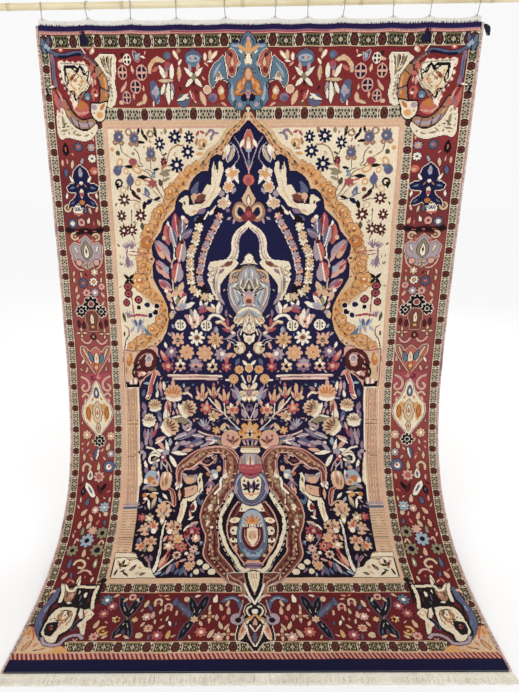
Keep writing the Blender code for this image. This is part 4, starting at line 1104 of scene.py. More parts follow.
area KR 622,1836 614,1856 626,1872 640,1890 640,1846
line PK 10 614,1776 620,1806 628,1836 640,1862
area KI 640,1766 620,1768 622,1790 628,1816 636,1838 640,1846; tick .G 640 1784 16 0 .5
tick .A 632 1782 12 0 .4; tick .C 636 1812 14 0 .5; line KW 5 604,1846 618,1858 630,1876 640,1890
sprinkle .L/.T/.V/.P/.C/.Z/.E N tick/tick/petal 6 14 246 640 1120 1790
sprinkle .A/.K/.P/.C/.E/.K/.M B tick/curl/ball 5 8 380 640 1330 1840
area KI 200,1722 228,1716 246,1728 268,1722 286,1734 296,1750 318,1756 326,1776 336,1788 200,1790
fleur .KA 224 1744 17 20; petal2 .KA 262 1752 14 40; 294 1774 11 70 1.1; tick .K 210 1770 14 20 .8
240 1774 15 -50 .7; tick .G 244 1738 8 30 1.2; tick .P 276 1772 9 60 1.1
tick .K 230 1764 10 60 .8; tick .P 212 1736 9 0 1.1; ball .G 282 1752 5
"""

# Broad red border down the side.
SIDE_BORDER = """
petal KKB 58 335 18 0 1.2; tick .S 58 336 8; rosette KTW 97 330 13 0 1.1; ball .S 97 330 5
rosette KLW 137 332 12 0 1.1; ball .G 137 332 4; rosette KWT 137 364 12 0 1.1
petal KL 106 370 10 20 1.2; tick KC 75 380 13 10 1.2; tick .C 45 375 10 0 1.2
tick KT 53 404 14 12 1.4; ball .S 140 400 11 0 1.2; ball .X 142 402 5 0 1.2
area WKN 97,384 80,398 74,418 78,438 64,440 54,448 56,460 74,462 84,464 76,480 60,494 54,510
    72,504 86,494 97,512 110,496 124,504 142,508 136,492 118,478 112,464 124,462 146,460 150,448
    138,440 118,438 122,416 116,398
petal TY 97 404 13 0 1.1; tick .S 97 404 6; tick .Z 68 450 10 80 .9; 132 450 10 100 .9
tick .T 68 496 10 50 .8; 130 496 10 130 .8; petal KI 97 468 15 180 1.1; ball .H 97 470 7
ball .O 97 494 7 0 1.3; ball .W 97 436 5 0 1.2; tick .O 86 444 7 40 .9; 110 444 7 -40 .9
petal KW 68 424 11 -30 1.1; 124 424 11 30 1.1; tick KW 50 474 10 10 1.1; 144 474 10 -10 1.1
curl KC 50 512 13; lily KWTS 82 520 17; tick KT 105 518 11 0 1.2; tick KC 120 520 11 -20 1.1
141 516 11 20 1.1; ball KT 61 560 14; ball .W 61 560 7; ball KP 89 556 12; ball .R 89 556 5
petal KW 112 550 10 20 1.2; petal KX 143 556 11 -20 1.2; tick .S 128 560 8
line KMK 12 44,580 70,586 100,582 126,586 150,580; tick .S 70 584 7 90 .8; 100 583 7 90 .8
128 584 7 90 .8; curl KC 64 600 13 20 1.1; 132 602 13 200 1.1
area WKL 96,600 84,612 76,630 60,622 48,634 50,656 60,676 76,690 96,702 118,690 134,676 144,656
    146,634 134,622 118,630 110,612
area KEE 96,616 84,634 82,654 90,668 96,674 104,668 112,654 110,634; petal KW 96 648 21
tick .K 96 648 10 0 .8; tick .E 64 644 17 -20; 130 644 17 20; tick .W 64 642 11 -20 .7
130 642 11 20 .7; ball KP 70 684 10; 126 684 10; cross KC 96 692 14; tick .S 76 616 10 0 1.2
120 616 10 0 1.2; line KP 6 48,668 54,690 66,704 82,708; line KP 6 146,668 140,690 128,704 112,708
blossom KCW 118 716 13; tick KX 50 720 10 20 1.1; 74 724 10 -10 1.1; tick KC 50 742 10 0 1.1
138 742 10 10 1.1; rosette KTW 79 751 16; ball KS 79 751 6; rosette KWT 113 748 14
ball KG 113 748 5; rosette KPH 138 764 12; rosette KPW 87 784 14; ball .R 87 784 5
rosette KLT 115 784 14; ball .W 115 784 5; petal KX 55 772 12 10 1.1; tick .C 58 796 11 30 1.1
140 792 11 -30 1.1; rosette WKN 99 823 27; ball WR 99 823 9; rosette WKN 66 846 20
ball WN 66 846 6; rosette WKN 131 849 20; ball WN 131 849 6; petal KX 140 820 10 30 1.1
55 818 10 -30 1.1
area KPBB 98,846 86,850 78,864 80,882 86,896 84,914 114,914 112,896 118,882 120,864 112,850
petal KI 99 874 17; tick .S 99 876 7 0 .9; ball .G 99 902 5; tick KM 54 890 14; 70 896 13
126 896 13; 144 890 14; cross KC 60 922 16 45; 137 926 16 45; ball KS 60 922 4; 137 926 4
line KP 7 58,944 68,956 82,958 92,946; line KP 7 110,948 120,960 134,960 144,948
ball KM 98 936 10; tick .C 98 936 6
area WKS 54,972 70,976 82,994 92,984 104,976 114,984 124,996 136,976 150,974 148,996 138,1016
    124,1036 112,1056 102,1070 92,1056 80,1036 66,1016 56,996
line KC 7 62,980 74,1004 84,1030; line KC 7 142,980 132,1004 122,1030; petal KZ 85 1006 18 -14
121 1012 18 14; petal KI 104 1012 20 0 1.1; tick .G 104 1014 10; petal KO 102 1048 17 180 1.1
ball .C 102 1046 6; petal KP 148 1020 10 10 1.1; tick KW 58 1024 10 30 1.1
area .H 44,1068 152,1068 150,1120 146,1180 52,1180 46,1120
line MP 9 50,1080 66,1088 76,1104 72,1124 58,1130 50,1118 58,1108
line MP 9 146,1080 132,1088 122,1104 126,1124 140,1130 148,1118 140,1108
line MC 7 50,1150 60,1140 72,1146; line MC 7 146,1150 138,1140 126,1146; tick .C 58 1166 10 20
140 1166 10 -20
area WKI 99,1096 90,1110 86,1130 76,1150 66,1166 52,1184 48,1208 54,1232 70,1256 86,1276 100,1296
    114,1276 130,1256 144,1232 150,1208 144,1184 130,1166 120,1150 112,1130 108,1110
area .G 58,1190 74,1176 86,1180 80,1200 78,1230 72,1246 58,1226
area .G 140,1190 124,1176 112,1180 118,1200 120,1230 126,1246 140,1226; tick KO 68 1210 22 0 .8
131 1210 22 0 .8; area KC 99,1166 86,1184 82,1210 88,1236 99,1250 110,1236 116,1210 112,1184
area KI 99,1186 92,1200 92,1218 99,1230 106,1218 106,1200; petal .S 99 1208 11
petal KC 100 1266 17 180 1.1; tick .H 100 1264 8; petal KT 98 1136 20; tick .W 98 1138 11 0 .8
tick .O 84 1160 8 30; 114 1160 8 -30; rosette KXS 60 1288 17; ball .W 60 1288 5
rosette KXS 144 1293 16; ball .W 144 1293 5; rosette WKN 104 1310 21; ball WN 104 1310 7
tick KX 64 1320 10 20 1.1; 80 1312 9 -20 1.1; petal KC 135 1330 14 20 1.2
plume KTWT 95 1356 24 10 .9; tick KC 52 1368 13 0 1.1; rosette KLW 144 1356 14
tick KP 64 1346 10 40 1.1; 122 1372 10 -40 1.1; ball KT 140 1400 20; ball .W 138 1402 10
ball .S 140 1400 5; line KC 8 50,1416 50,1400 62,1392 74,1400 72,1412; petal KI 76 1430 18 0 1.4
tick .T 76 1432 10 0 1.2; petal KC 103 1400 14 0 1.1; rosette KPW 107 1436 20; ball KS 107 1436 7
tick KX 147 1440 13 10 1.1; tick KP 50 1444 10 0 1.1
area KW 64,1456 76,1462 88,1478 98,1502 86,1506 72,1488 62,1472 round; tick .T 80 1482 17 -34 .6
petal KK 56 1486 15 10 1.1; petal KM 110 1478 15 -30; petal KK 126 1470 14 30 .9
tick .T 56 1486 8 10; petal KT 74 1522 14 20 1.2; petal KC 106 1516 14 -10 1.2
tick KC 148 1516 10 0 1.1; tick KP 50 1516 10 0 1.1; rosette KYN 133 1541 18; ball .W 133 1541 5
petal KX 68 1558 15 40 1.2; 92 1576 14 -20 1.2; rosette KPW 104 1550 13; ball KC 141 1564 8
petal KX 60 1600 14 10 1.2; petal KC 92 1602 14 30 1.2; tick .S 118 1594 11 30 1.2
tick KT 142 1594 11 -10 1.2; rosette KEN 140 1630 21; ball .K 140 1630 7; rosette KPX 106 1622 16
petal KE 74 1622 14 0 1.2; rosette KYT 95 1656 24; ball .K 95 1656 8; rosette KEN 56 1690 20
ball .K 56 1690 6; rosette KEN 136 1690 23; ball KN 136 1690 8; line KP 6 56,1664 60,1650 68,1656
line KC 6 136,1668 144,1656 152,1666; petal KX 96 1700 15 0 1.1
line KC 8 74,1740 82,1728 98,1728 108,1740 104,1754 92,1752; petal KT 60 1736 18 0 .8
petal KE 140 1736 18; tick .W 140 1738 10 0 .8; line KP 7 96,1772 110,1762 126,1766 136,1776
petal KX 56 1780 14 20 1.2; petal KI 105 1798 18 0 .9; tick KT 76 1780 11 -20 1.1
tick KC 144 1796 11 10 1.1; tick .S 74 1800 10 30 1.1
sprinkle KX/KC/KP/KS/KX/KW/KT/KP R petal/petal/tick/blossom 10 19 44 150 266 1806
sprinkle KX/.C/.S/.P/.K/.X R tick 7 11 42 152 262 1808
sprinkle .V/.P/.L/.K/.M/.V/.V H tick/curl/petal 9 9 44 152 1066 1184
"""

# Broad red border across the upper end.
TOP_BORDER = """
lines P 8 8 16 19 -7 110
# corner: jagged leaf inside an open ring
line KT 11 34,62 52,74 76,78 104,72 126,72 138,82; line .N 5 60,80 84,80 108,74 128,74
line MV 12 40,78 42,100 42,130 46,158; tick .T 42 120 36 0 .3; fleur KTY 27 50 20 -40
tick KZ 18 44 14 -10 1.2; ball .Y 28 54 6 0 1.2; tick KZ 20 64 12 -30 1.2; ball .S 68 62 7 0 1.2
ball .W 68 62 3 0 1.2; tick KN 138 26 12; ball KN 140 40 11; line K 3 131,10 130,30 133,52
line W 3 128,56 138,72 146,84; line M 3 128,60 134,76; petal MX 160 66 12 30 1.2; ball .W 162 68 5
tick .S 148 62 8 80; line KVK 10 134,80 150,94 166,106 180,120
line A 6 136,82 152,96 168,108 180,120
area .R 56,90 140,86 166,112 176,140 176,196 146,240 110,250 84,232 60,190 52,160
line MS 7 48,168 64,198 82,226 94,240; line .R 4 60,180 82,206
line KKA 26 178,120 190,150 190,180 186,204; line O 14 184,134 190,152 190,178 187,196
line .G 6 192,140 195,160 194,186; line K 3 176,134 188,124; line N 4 180,164 200,174
line V 3 180,170 198,178; line K 4 146,206 176,206 200,200
area KKI 148,208 176,208 198,204 190,222 186,246 172,258 158,252 148,236 round
petal .O 182 216 13 40 1.1; ball .L 156 218 8 0 1.2; ball .G 172 240 9 0 1.2
line KKA 24 62,206 78,236 96,256 120,268 146,262; line .L 11 84,250 96,260 120,270 144,264
line K 3 82,246 90,262; line K 3 104,254 108,280; line K 3 132,256 136,276; line G 5 72,226 82,240
line K 3 70,226 88,222; tick .S 152 120 22 20 .8; tick .P 156 150 16 0 .6; tick .S 156 184 18 0 .8
64 210 20 -20 .9; tick .P 58 190 16 -24 .5
area .S 98,222 112,208 130,206 140,222 130,240 108,242 round; ball .O 118 212 11 0 1.2
line P 3 92,222 104,232 120,236 140,232; line C 3 96,226 108,238; ball .P 124 234 4
area PW 58,94 70,92 76,98 84,92 92,98 102,94 108,100 118,94 126,98 134,94 138,104 146,108 144,118
    152,124 148,134 156,142 150,152 146,160 134,170 120,178 108,196 104,214 94,222 92,206 86,196
    90,184 80,180 84,168 70,168 76,156 62,150 68,140 58,132 64,120 58,110
area KKI 73,108 92,107 108,108 111,118 120,108 124,108 134,124
area KKI 76,112 92,110 104,120 112,124 120,112 124,110 128,130 142,134 138,148 146,160 138,172
    122,176 112,186 102,200 100,186 94,178 78,166 84,152 78,146
line K 4 77,113 80,130 84,150 74,160 82,172 98,176 102,196
line K 4 77,112 92,110 110,112 112,124 122,110 132,128 146,122 142,146; tick .G 126 140 9 0 .8
136 154 9 60 .8; tick .E 116 134 9 40 .7; petal .B 98 136 16 50 .9; petal .A 106 143 9 50
ball .G 122 150 5; 104 166 5 0 1.3; ball .I 112 160 9 0 1.2; tick .G 122 168 8 70 .9
tick .I 96 120 8 60; chain .E tick 6 9 63,98 100,100 140,106 152,130 146,152 126,180 106,212
chain .P tick 6 11 60,104 66,130 68,146 80,164 86,180 96,206
chain .D tick 5 17 62,112 66,140 78,164 92,190; chain .G tick 8 10 86,122 90,150 100,170 106,188
chain .C tick 9 9 116,132 134,140 132,160 116,174
chain .E tick 6 12 100,118 122,136 128,150 112,170; chain .O tick 6 14 98,126 110,150 122,160
ball KZ 138 190 11 0 .95; ball .Y 138 194 5; tick .S 158 112 10 -30 1.2; ball .S 164 132 7
tick .P 164 150 9; ball .S 160 180 12; ball .W 164 186 4 0 1.2; ball .M 162 176 4
# plumes round the ring
area KWI 168,90 182,78 204,76 222,76 228,84 226,120 220,150 226,186 218,210 206,220 198,214
    204,196 206,164 202,136 190,118 180,104
tick .E 192 98 16 -10 .9; 206 96 16 6 .8; tick .D 202 90 10 0 .7; tick .W 198 100 18 -4 .5
line W 4 220,90 216,130 214,160 220,190 210,212; tick .E 214 96 12 0 .8
line D 3 184,86 190,104 202,124; line B 4 194,82 198,104 206,126; line E 4 206,80 207,104 211,132
line D 3 217,82 214,106 213,134; line K 2 202,88 204,106
sprinkle .E/.D/.E/.K/.A/.E IW tick 5 5 176 226 80 214; line V 3 202,134 206,160 204,190
line E 2 208,130 208,150 210,180; tick .C 204 118 10 -30 .9
area KWI 44,226 52,220 62,224 70,244 86,268 106,284 128,288 148,276 160,268 154,290 138,306
    116,312 90,306 68,300 50,306 42,290 42,250 round
line W 4 48,232 50,266 58,290 80,298 110,304 140,296; tick .E 60 258 18 -10 .8; 62 282 14 80 .7
tick .D 60 272 9 80 .7; tick .E 100 296 12 100 .7; 126 298 12 70 .7; 90 288 9 50 .9
tick .D 66 264 9 60 .6; sprinkle .E/.D/.E/.K/.A/.E IW tick 5 5 44 158 226 310
line K 3 24,166 38,166 50,168; tick K 18 170 9 -20 1.2; 20 182 9 20; tick .W 34 162 10 80 .8
tick HS 44 200 30 -14 .6; tick .V 54 206 14
# flowers
tick XC 248 92 9 80; tick .C 276 116 12 -12; 248 166 15 40; tick .P 254 156 9 20
tick XC 310 196 14 10; tick .C 296 208 14 70 .9; ball .C 240 206 6 0 1.2; tick .X 278 188 9
line S 5 304,132 322,122 340,118; line B 3 270,208 290,204 304,196; pane .WK 262 90 15 0 .8
pane .PK 247 124 20 0 .72; pane .PN 303 124 22 0 .78; 284 162 19 0 .9; 256 192 18 0 .75
petal2 PTY 288 80 15 -30 1.2; tick .Y 294 78 9 60; tick .W 308 82 10 110 .8
tick KD 248 78 6 0 1.2
area BC 324,128 322,112 328,98 340,86 352,82 364,88 374,96 362,98 348,96 338,104 332,116 330,128
    round
tick .G 340 94 12 50 .8; tick .S 344 116 14 60 1.2; ball BT 380 80 10 0 1.1; ball .Z 382 82 5
tick XW 404 78 13 -28; tick .W 416 98 10 30 1.2; tick BC 414 128 22 0 .8; tick .G 412 130 12 0 .7
ball .A 414 68 6; plume MTYL 342 180 34 -12 1.1; ball .T 336 156 10; ball .L 340 178 8 0 1.2
tick .T 350 196 14 20; tick .W 336 210 9 10 .9; tick KW 364 124 22 -24 .9; 392 124 24 2 .9
tick .V 378 112 12 0 1.8; ball .H 380 104 8 0 1.2; tick .P 376 130 10 0 1.2
tick BC 374 147 25 90 .6; tick KW 382 182 32 2 .75; 366 170 18 20 .9; tick KL 394 170 20 -8 .9
tick KW 392 186 16 4 .8; tick .E 372 178 12 10 .8; ball MZ 455 88 24
area MT 430,88 434,76 446,68 462,68 476,76 480,88 round; ball TY 456 89 10 0 2
ball .T 456 89 4 0 3; ball .P 454 89 2.5 0 3; cross KWE 457 140 30; tick .L 446 114 14 -10
tick .P 470 112 14 10; ball .E 458 136 7; tick K 457 156 9; tick .H 446 180 10 0 1.2
ball BT 426 202 18 0 1.1; tick .T 428 208 12 80 1.3; tick KW 420 198 16 76 .8
tick .W 430 190 13 60 .9; 434 194 9 100; line W 3 446,178 452,196 464,208
tick .R 464 184 16 0 1.4; tick .S 456 194 14 -10 .7; tick .B 464 212 20 80 .6
tick XC 484 196 20 -20 .9; ball WX 497 172 10; ball .C 499 176 6; tick XW 491 84 11
tick XC 506 80 13 2 .8; tick XW 518 80 14 42 .8; tick .X 494 104 9 -50; tick .W 506 96 9 80
area WKZ 545,82 534,94 520,104 510,120 505,140 508,158 514,166 520,152 532,146 548,144 556,150
    552,120 548,96
area Y 540,100 528,110 518,126 516,140 530,118 round; petal WP 532 138 13 0 1.5
ball .E 530 132 6 0 1.2; line W 3 520,148 534,142 546,142; ball KR 538 164 15 0 1.1
tick XC 538 176 14 0 1.6; ball .O 542 192 8; tick .W 540 176 7 0 1.4; ball .V 514 194 12 0 1.1
ball .T 512 198 7 0 1.3; tick .B 528 214 18 80 .8; tick .P 548 212 12 -60 .8
# centre palmette
area KZ 617,18 606,26 598,38 597,50 588,44 574,44 562,56 568,66 582,72 592,84 596,96 592,108
    588,122 574,136 562,142 560,160 562,178 558,196 570,214 586,226 604,228 612,222 620,212
    640,212 640,18
line N 3 612,30 603,42 602,56; line W 2 596,58 588,52; tick KN 580 44 10 90 .7
tick Y 580 56 12 100 .9; tick VP 617 42 11
area Y 570,152 568,176 572,200 588,214 578,190 574,168 round; fleur .GC 617 64 20 0 1.25
tick .G 617 58 16 0 1.2; tick .W 596 70 8 -50; ball K 613 84 7 0 1.3; tick EW 617 88 15 0 .9
petal .I 611 96 9 -20; tick .E 606 80 8; line K 2 598,114 606,118 612,114
line K 2 598,126 606,128
area BO 617,112 610,122 604,140 592,148 584,158 586,170 576,178 582,188 604,186 640,186 640,112
tick .G 592 160 12 40 .9; 590 176 10 60 .9; tick .X 606 150 10 10 .8; petal BT 617 166 20
petal .Z 617 164 12; tick .X 617 130 16; ball .G 594 168 4; tick .T 604 176 12 60 .9
tick PV 617 184 10 0 1.2; ball KN 608 194 9 0 .9; tick .P 617 190 8 0 .8; tick KT 581 208 10 10 .8
ball .L 596 214 7; line K 3 617,198 617,214 610,224; tick KT 562 162 8 0 1.2
area WKS 556,74 568,66 580,76 586,92 592,102 582,112 576,134 566,132 560,112 554,92 round
tick .M 566 78 12 -40 1.4; petal MC 572 98 12 0 1.1; ball .R 570 120 9 0 .8; ball .B 560 72 6
tick .P 588 104 8 60; sprinkle .T/.Y/.T/.K/.L/.T Z tick 7 7.5 556 640 18 226
sprinkle .C/.X/.S/.P/.K R tick 7 12 60 560 66 216
"""

# Broad red border across the lower end.
BOTTOM_BORDER = """
# corner block
area .G 14,1960 60,1962 74,1990 104,2012 130,2026 150,2040 150,2048 14,2048
area .C 14,1990 40,1988 70,2010 110,2036 80,2046 14,2046; line S 5 26,1964 38,1984 44,2004
petal RG 35 2022 17 24 .8; tick .S 56 2020 8 30 1.2; tick .O 80 2032 11 70 .8; 24 1980 10 0 .8
tick .D 64 2036 8 80 .6; tick .P 98 2030 7 70 .8; tick .E 44 1970 8 -30 .8
line KTT 15 54,1832 48,1862 38,1894 34,1926 40,1956 56,1984 66,1996
line K 8 60,1816 62,1842 60,1872 50,1892 52,1916 58,1936; tick .Y 40 1900 11 14 .5
tick .Z 42 1946 10 -20 .6
area K 60,1812 84,1818 108,1812 176,1812 178,1900 156,1908 132,1892 112,1894 92,1886 70,1890 60,1872
area .A 76,1834 92,1824 108,1834 106,1860 96,1880 84,1872 76,1860; petal .P 98 1852 13 10 .9
tick .S 96 1862 8 20 1.2; tick .M 84 1850 10 0 .8; tick .C 92 1836 8 -30 .8
tick .B 104 1840 8 0 .8; line KI 9 60,1814 70,1818 84,1834 98,1836 106,1822 136,1822 172,1822
line KI 10 62,1818 68,1834 70,1852 70,1874; line KI 10 168,1822 164,1846 166,1872 172,1898
petal KI 108 1806 14 0 .8; 98 1878 8 100 1.2; tick .I 118 1840 8 0 .7; tick .V 126 1862 10 0 .6
tick WI 138 1850 9 0 .7; tick .M 148 1836 8 0 .8; 152 1870 11 0 .7; tick .T 134 1880 7 20 .8
line K 6 177,1800 178,1840 182,1880; ball .K 180 1798 9
area K 52,1916 64,1896 84,1888 128,1890 136,1906 138,1956 130,1980 114,1996 112,2016 84,2018
    66,2002 50,1980 round
area I 60,1922 70,1902 86,1894 124,1896 130,1910 132,1952 124,1972 106,1990 106,2010 88,2012
    70,1996 56,1976 round
petal .A 90 1922 18 12 .9; 112 1916 14 -20 .9; petal KG 106 1940 13 40 .8
line K 3 84,1908 100,1904 118,1912 122,1936 116,1956; line K 3 74,1930 84,1940 96,1938
petal .P 98 1956 14 20 .7; tick .A 84 1920 10 20 .9; tick .B 108 1914 10 -20; tick .A 110 1936 11
tick .G 94 1932 10 -40 .9; tick .S 100 1950 8 30; tick .O 116 1950 6; tick .I 80 1936 6 60 .9
tick .K 102 1922 6 20 .7; tick .I 104 1964 6 60
area KK 62,1950 90,1944 94,1968 86,1990 70,1988 62,1970; tick .R 72 1964 8 -20 1.2
tick .S 80 1968 6 20; tick .P 78 1958 5 70; tick .W 94 2000 6 20
area KI 138,1898 150,1904 164,1900 176,1908 184,1918 178,1932 168,1942 172,1966 176,1990 164,1984
    156,1966 144,1956 150,1938 138,1920
tick .P 158 1916 10 30 1.1; tick .G 168 1924 6 60 1.1; tick .S 152 1926 6 10
tick .C 164 1960 11 -14 .8; line K 4 148,1906 158,1930 150,1944; tick .K 176 1920 4
line TK 7 152,1938 142,1952 138,1970
line KL 9 66,1998 76,2014 96,2020 118,2018 128,2002 142,1992 160,1990 174,2000
area .M 128,2012 142,2000 160,1998 172,2008; cross .P 156 2008 7; petal KC 36 1838 10 30 1.1
ball .X 42 1836 5; tick KE 30 1862 10; tick .G 28 1880 7
# small flowers
rosette KZY 207 1868 18; ball KW 207 1868 6; rosette KHP 228 1890 16; ball .W 228 1890 5
rosette KHS 210 1916 16; ball .C 210 1916 5; petal KX 200 1952 15 20 1.1; curl KG 222 1976 17 20
rosette KPH 204 1994 14; tick KC 232 1852 10 60 1.1; 232 1996 10 60 1.1
area TKK 279,1932 262,1908 250,1884 246,1858 258,1868 268,1890 280,1912 284,1886 294,1866
    308,1856 306,1882 296,1908
area TKK 279,1932 268,1954 256,1978 254,2004 266,1994 276,1972 282,1962 286,1984 296,2006
    302,1984 296,1960 288,1940
tick .T 260 1886 11 -24 .5; tick .W 266 1900 10 -26 .35; tick .T 300 1880 11 22 .5
tick .W 288 1906 10 24 .35; tick .T 264 1976 11 22 .5; 294 1980 11 -18 .5
tick .W 274 1952 8 24 .35; 286 1956 8 -20 .35; blossom KG 250 1936 12; ball .K 252 1936 5
ball .I 241 1932 3; blossom KG 302 1936 10; ball .C 302 1938 4 0 1.2; tick KE 279 1932 8 -30 .8
ball KP 280 1858 12; ball .R 280 1858 5; tick KC 262 1868 10 30 1.1; 298 1868 10 -30 1.1
tick KX 268 1992 11 60 1.1; 292 1996 11 -60 1.1; petal KC 326 1880 14 20 1.1
petal KT 338 1894 11 -30 1.1; rosette KPW 334 1926 14; tick KX 328 1952 11 30 1.1
ball KC 325 1990 10; rosette KXS 346 1966 14
line KC 7 350,1888 350,1872 359,1865 368,1872 368,1886; ball .H 359 1880 5
line KP 7 381,1906 381,1890 390,1883 399,1890 399,1904; ball .S 390 1898 5
petal KP 350 1920 13 0 1.2; tick KC 370 1910 11 10 1.1; 393 1934 10 10 1.1
tick KW 403 1950 10 -20 1.1; tick KC 360 1944 10 -20 1.1; tick KX 382 1962 11 50 1.1
rosette KHP 374 1990 17; ball .W 374 1990 5; petal KG 404 1986 15 10 1.1
tick .T 352 1996 10 0 1.1; petal KT 408 1874 15 10 1.2; ball .S 426 1886 5; ball KC 440 1866 9
petal KB 436 1910 13 0 1.2; tick KX 416 1914 11 0 1.1
area TKK 464,1932 456,1910 450,1886 452,1860 462,1872 470,1892 474,1904 480,1880 490,1862
    502,1856 500,1880 490,1906 478,1926
area TKK 462,1938 448,1952 438,1974 434,2004 446,1994 458,1970 468,1946
area TKT 462,1936 440,1916 420,1894 412,1874 426,1882 444,1898 458,1914
tick .T 458 1886 10 -10 .5; 492 1880 10 18 .5; tick .W 466 1908 8 -14 .35; 482 1908 8 20 .35
tick .T 444 1976 10 18 .5; tick .W 454 1958 8 24 .35; tick .E 432 1900 10 -44 .5
blossom KC 469 1937 12; ball .G 468 1937 4; petal KX 488 1950 11 -30 1.1
tick KC 494 1932 8 60 1.1; tick KP 418 1992 8 60 1.1; tick KC 462 1996 8 -20 1.1
tick KT 420 1950 7 10 1.1; petal KWH 525 1864 15 10 1.2; cross KX 511 1926 20 45
ball KS 511 1926 5; tick KC 510 1896 11 10 1.1
line KT 13 548,1872 562,1862 580,1862 592,1874 600,1896; line Y 4 554,1868 574,1862 590,1872
petal KX 562 1880 12 20 1.1; 565 1906 14 0 1.1; 542 1894 13 -20 1.1; rosette KSX 492 1980 17
ball .W 492 1980 5; petal KC 520 1984 17 30; 543 1956 15 -20; petal KX 562 1962 13 30
rosette KPW 541 1996 16; cross KC 567 1988 19 45; ball KS 567 1988 5; tick KP 532 1930 13 0 1.1
tick .S 552 1930 10 20 1.2
# middle palmette
area WKK 640,1872 628,1880 616,1890 612,1908 616,1922 604,1936 598,1950 594,1968 591,1990
    592,2006 608,2010 622,2014 632,2028 640,2042
line KW 7 610,1812 622,1846 640,1880; line K 8 618,1812 628,1840 640,1864
area .A 600,1812 608,1812 614,1836 612,1850 600,1852; petal .P 602 1852 10 80
line I 6 630,1890 620,1898 618,1910 624,1922; ball .W 640 1908 9; petal KG 624 1934 25 52 .6
petal KI 618 1946 18 36 .6; tick .G 632 1930 14 20 .5
area .M 640,1956 628,1962 622,1976 626,1994 636,2008 640,2012; petal .P 640 1946 14 0 .9
line W 5 627,1956 640,1976; tick .M 640 1964 10; tick .T 640 1996 17 0 .7
line W 5 617,1960 624,1990 640,2026; line A 3 624,1990 636,2014; petal KX 606 1974 34 12 .62
tick .S 606 1972 13 12 .8; line W 4 613,1950 616,1976 606,2000 600,2002; ball KLL 590 1936 20
ball .K 593 1939 9; line L 4 606,1868 602,1892 596,1914; tick .K 600 1924 10 40 .8
sprinkle .C/.X/.G/.E/.P I tick 5 6 54 180 1810 2018
sprinkle .S/.C/.O/.E/.P GC tick 6 7 14 110 1955 2044
sprinkle KC/KX/KP/KI/KT/KG/KE R petal/petal/tick 9 21 164 560 1850 2006
sprinkle .C/.X/.S/.K/.P/.S R tick 7 12 164 600 1848 2008
"""


# ---- Mesh helpers -----------------------------------------------------------
def in_scene(name, data):
    """A new object of this mesh, light or camera, in the scene."""
    obj = bpy.data.objects.new(name, data)
    bpy.context.scene.collection.objects.link(obj)
    return obj


def mesh_object(name, points, faces, material):
    """A smooth mesh of the points and faces, riding on the root."""
    mesh = bpy.data.meshes.new(name)
    mesh.from_pydata([tuple(p) for p in points], [], [tuple(map(int, f)) for f in faces])
    mesh.update()
    mesh.materials.append(material)
    mesh.shade_smooth()
    obj = in_scene(name, mesh)
    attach(obj, "root")
    return obj


def grid_faces(rows, columns, wrap=False):
    """Quads of a grid of rows x columns points; wrap joins the last column to the first."""
    r, c = np.mgrid[0:rows - 1, 0:columns - (0 if wrap else 1)]
    right = (c + 1) % columns
    return np.stack([r * columns + c, r * columns + right,
                     (r + 1) * columns + right, (r + 1) * columns + c], -1).reshape(-1, 4)


def rim_walls(rows, columns):
    """Quads from the edge of a grid to that of a second grid, whose points follow it."""
    rim = [r * columns for r in range(rows)]
    rim += [(rows - 1) * columns + c for c in range(1, columns)]
    rim += [r * columns + columns - 1 for r in range(rows - 2, -1, -1)]
    rim += list(range(columns - 2, 0, -1))
    size = rows * columns
    return [(a, b, b + size, a + size) for a, b in zip(rim, rim[1:] + rim[:1])]


def uv_layer(mesh, name, corners):
    layer = mesh.uv_layers.new(name=name)
    layer.data.foreach_set("uv", np.asarray(corners, dtype=np.float32).ravel())


def circle(count):
    """Angles of points spread evenly round a circle."""
    return np.arange(count) * 2 * math.pi / count


def tube(path, radii, sides):
    """Points of rings round a path; the radii may differ along it or also round it."""
    tangents = np.gradient(path, axis=0)
    tangents /= np.linalg.norm(tangents, axis=1, keepdims=True)
    up = np.array([0.0, 0.0, 1.0]) if abs(tangents[0][2]) < 0.9 else np.array([0.0, 1.0, 0.0])
    side = np.cross(tangents[0], up)
    side /= np.linalg.norm(side)
    across = []
    for tangent in tangents:
        side = side - tangent * np.dot(side, tangent)
        side /= np.linalg.norm(side)
        across.append(side)
    across = np.array(across)
    other = np.cross(tangents, across)
    angle = circle(sides)[:, None]
    out = np.cos(angle) * across[:, None] + np.sin(angle) * other[:, None]
    radii = radii[:, None, None] if radii.ndim == 1 else radii[..., None]
    return (path[:, None] + out * radii).reshape(-1, 3)


def tube_faces(rings, sides, start=0, both_ends=True):
    """Faces of a tube from point number start on, its last end, or both ends, closed."""
    faces = (grid_faces(rings, sides, True) + start).tolist()
    if both_ends:
        faces.append([start + i for i in reversed(range(sides))])
    faces.append([start + (rings - 1) * sides + i for i in range(sides)])
    return faces


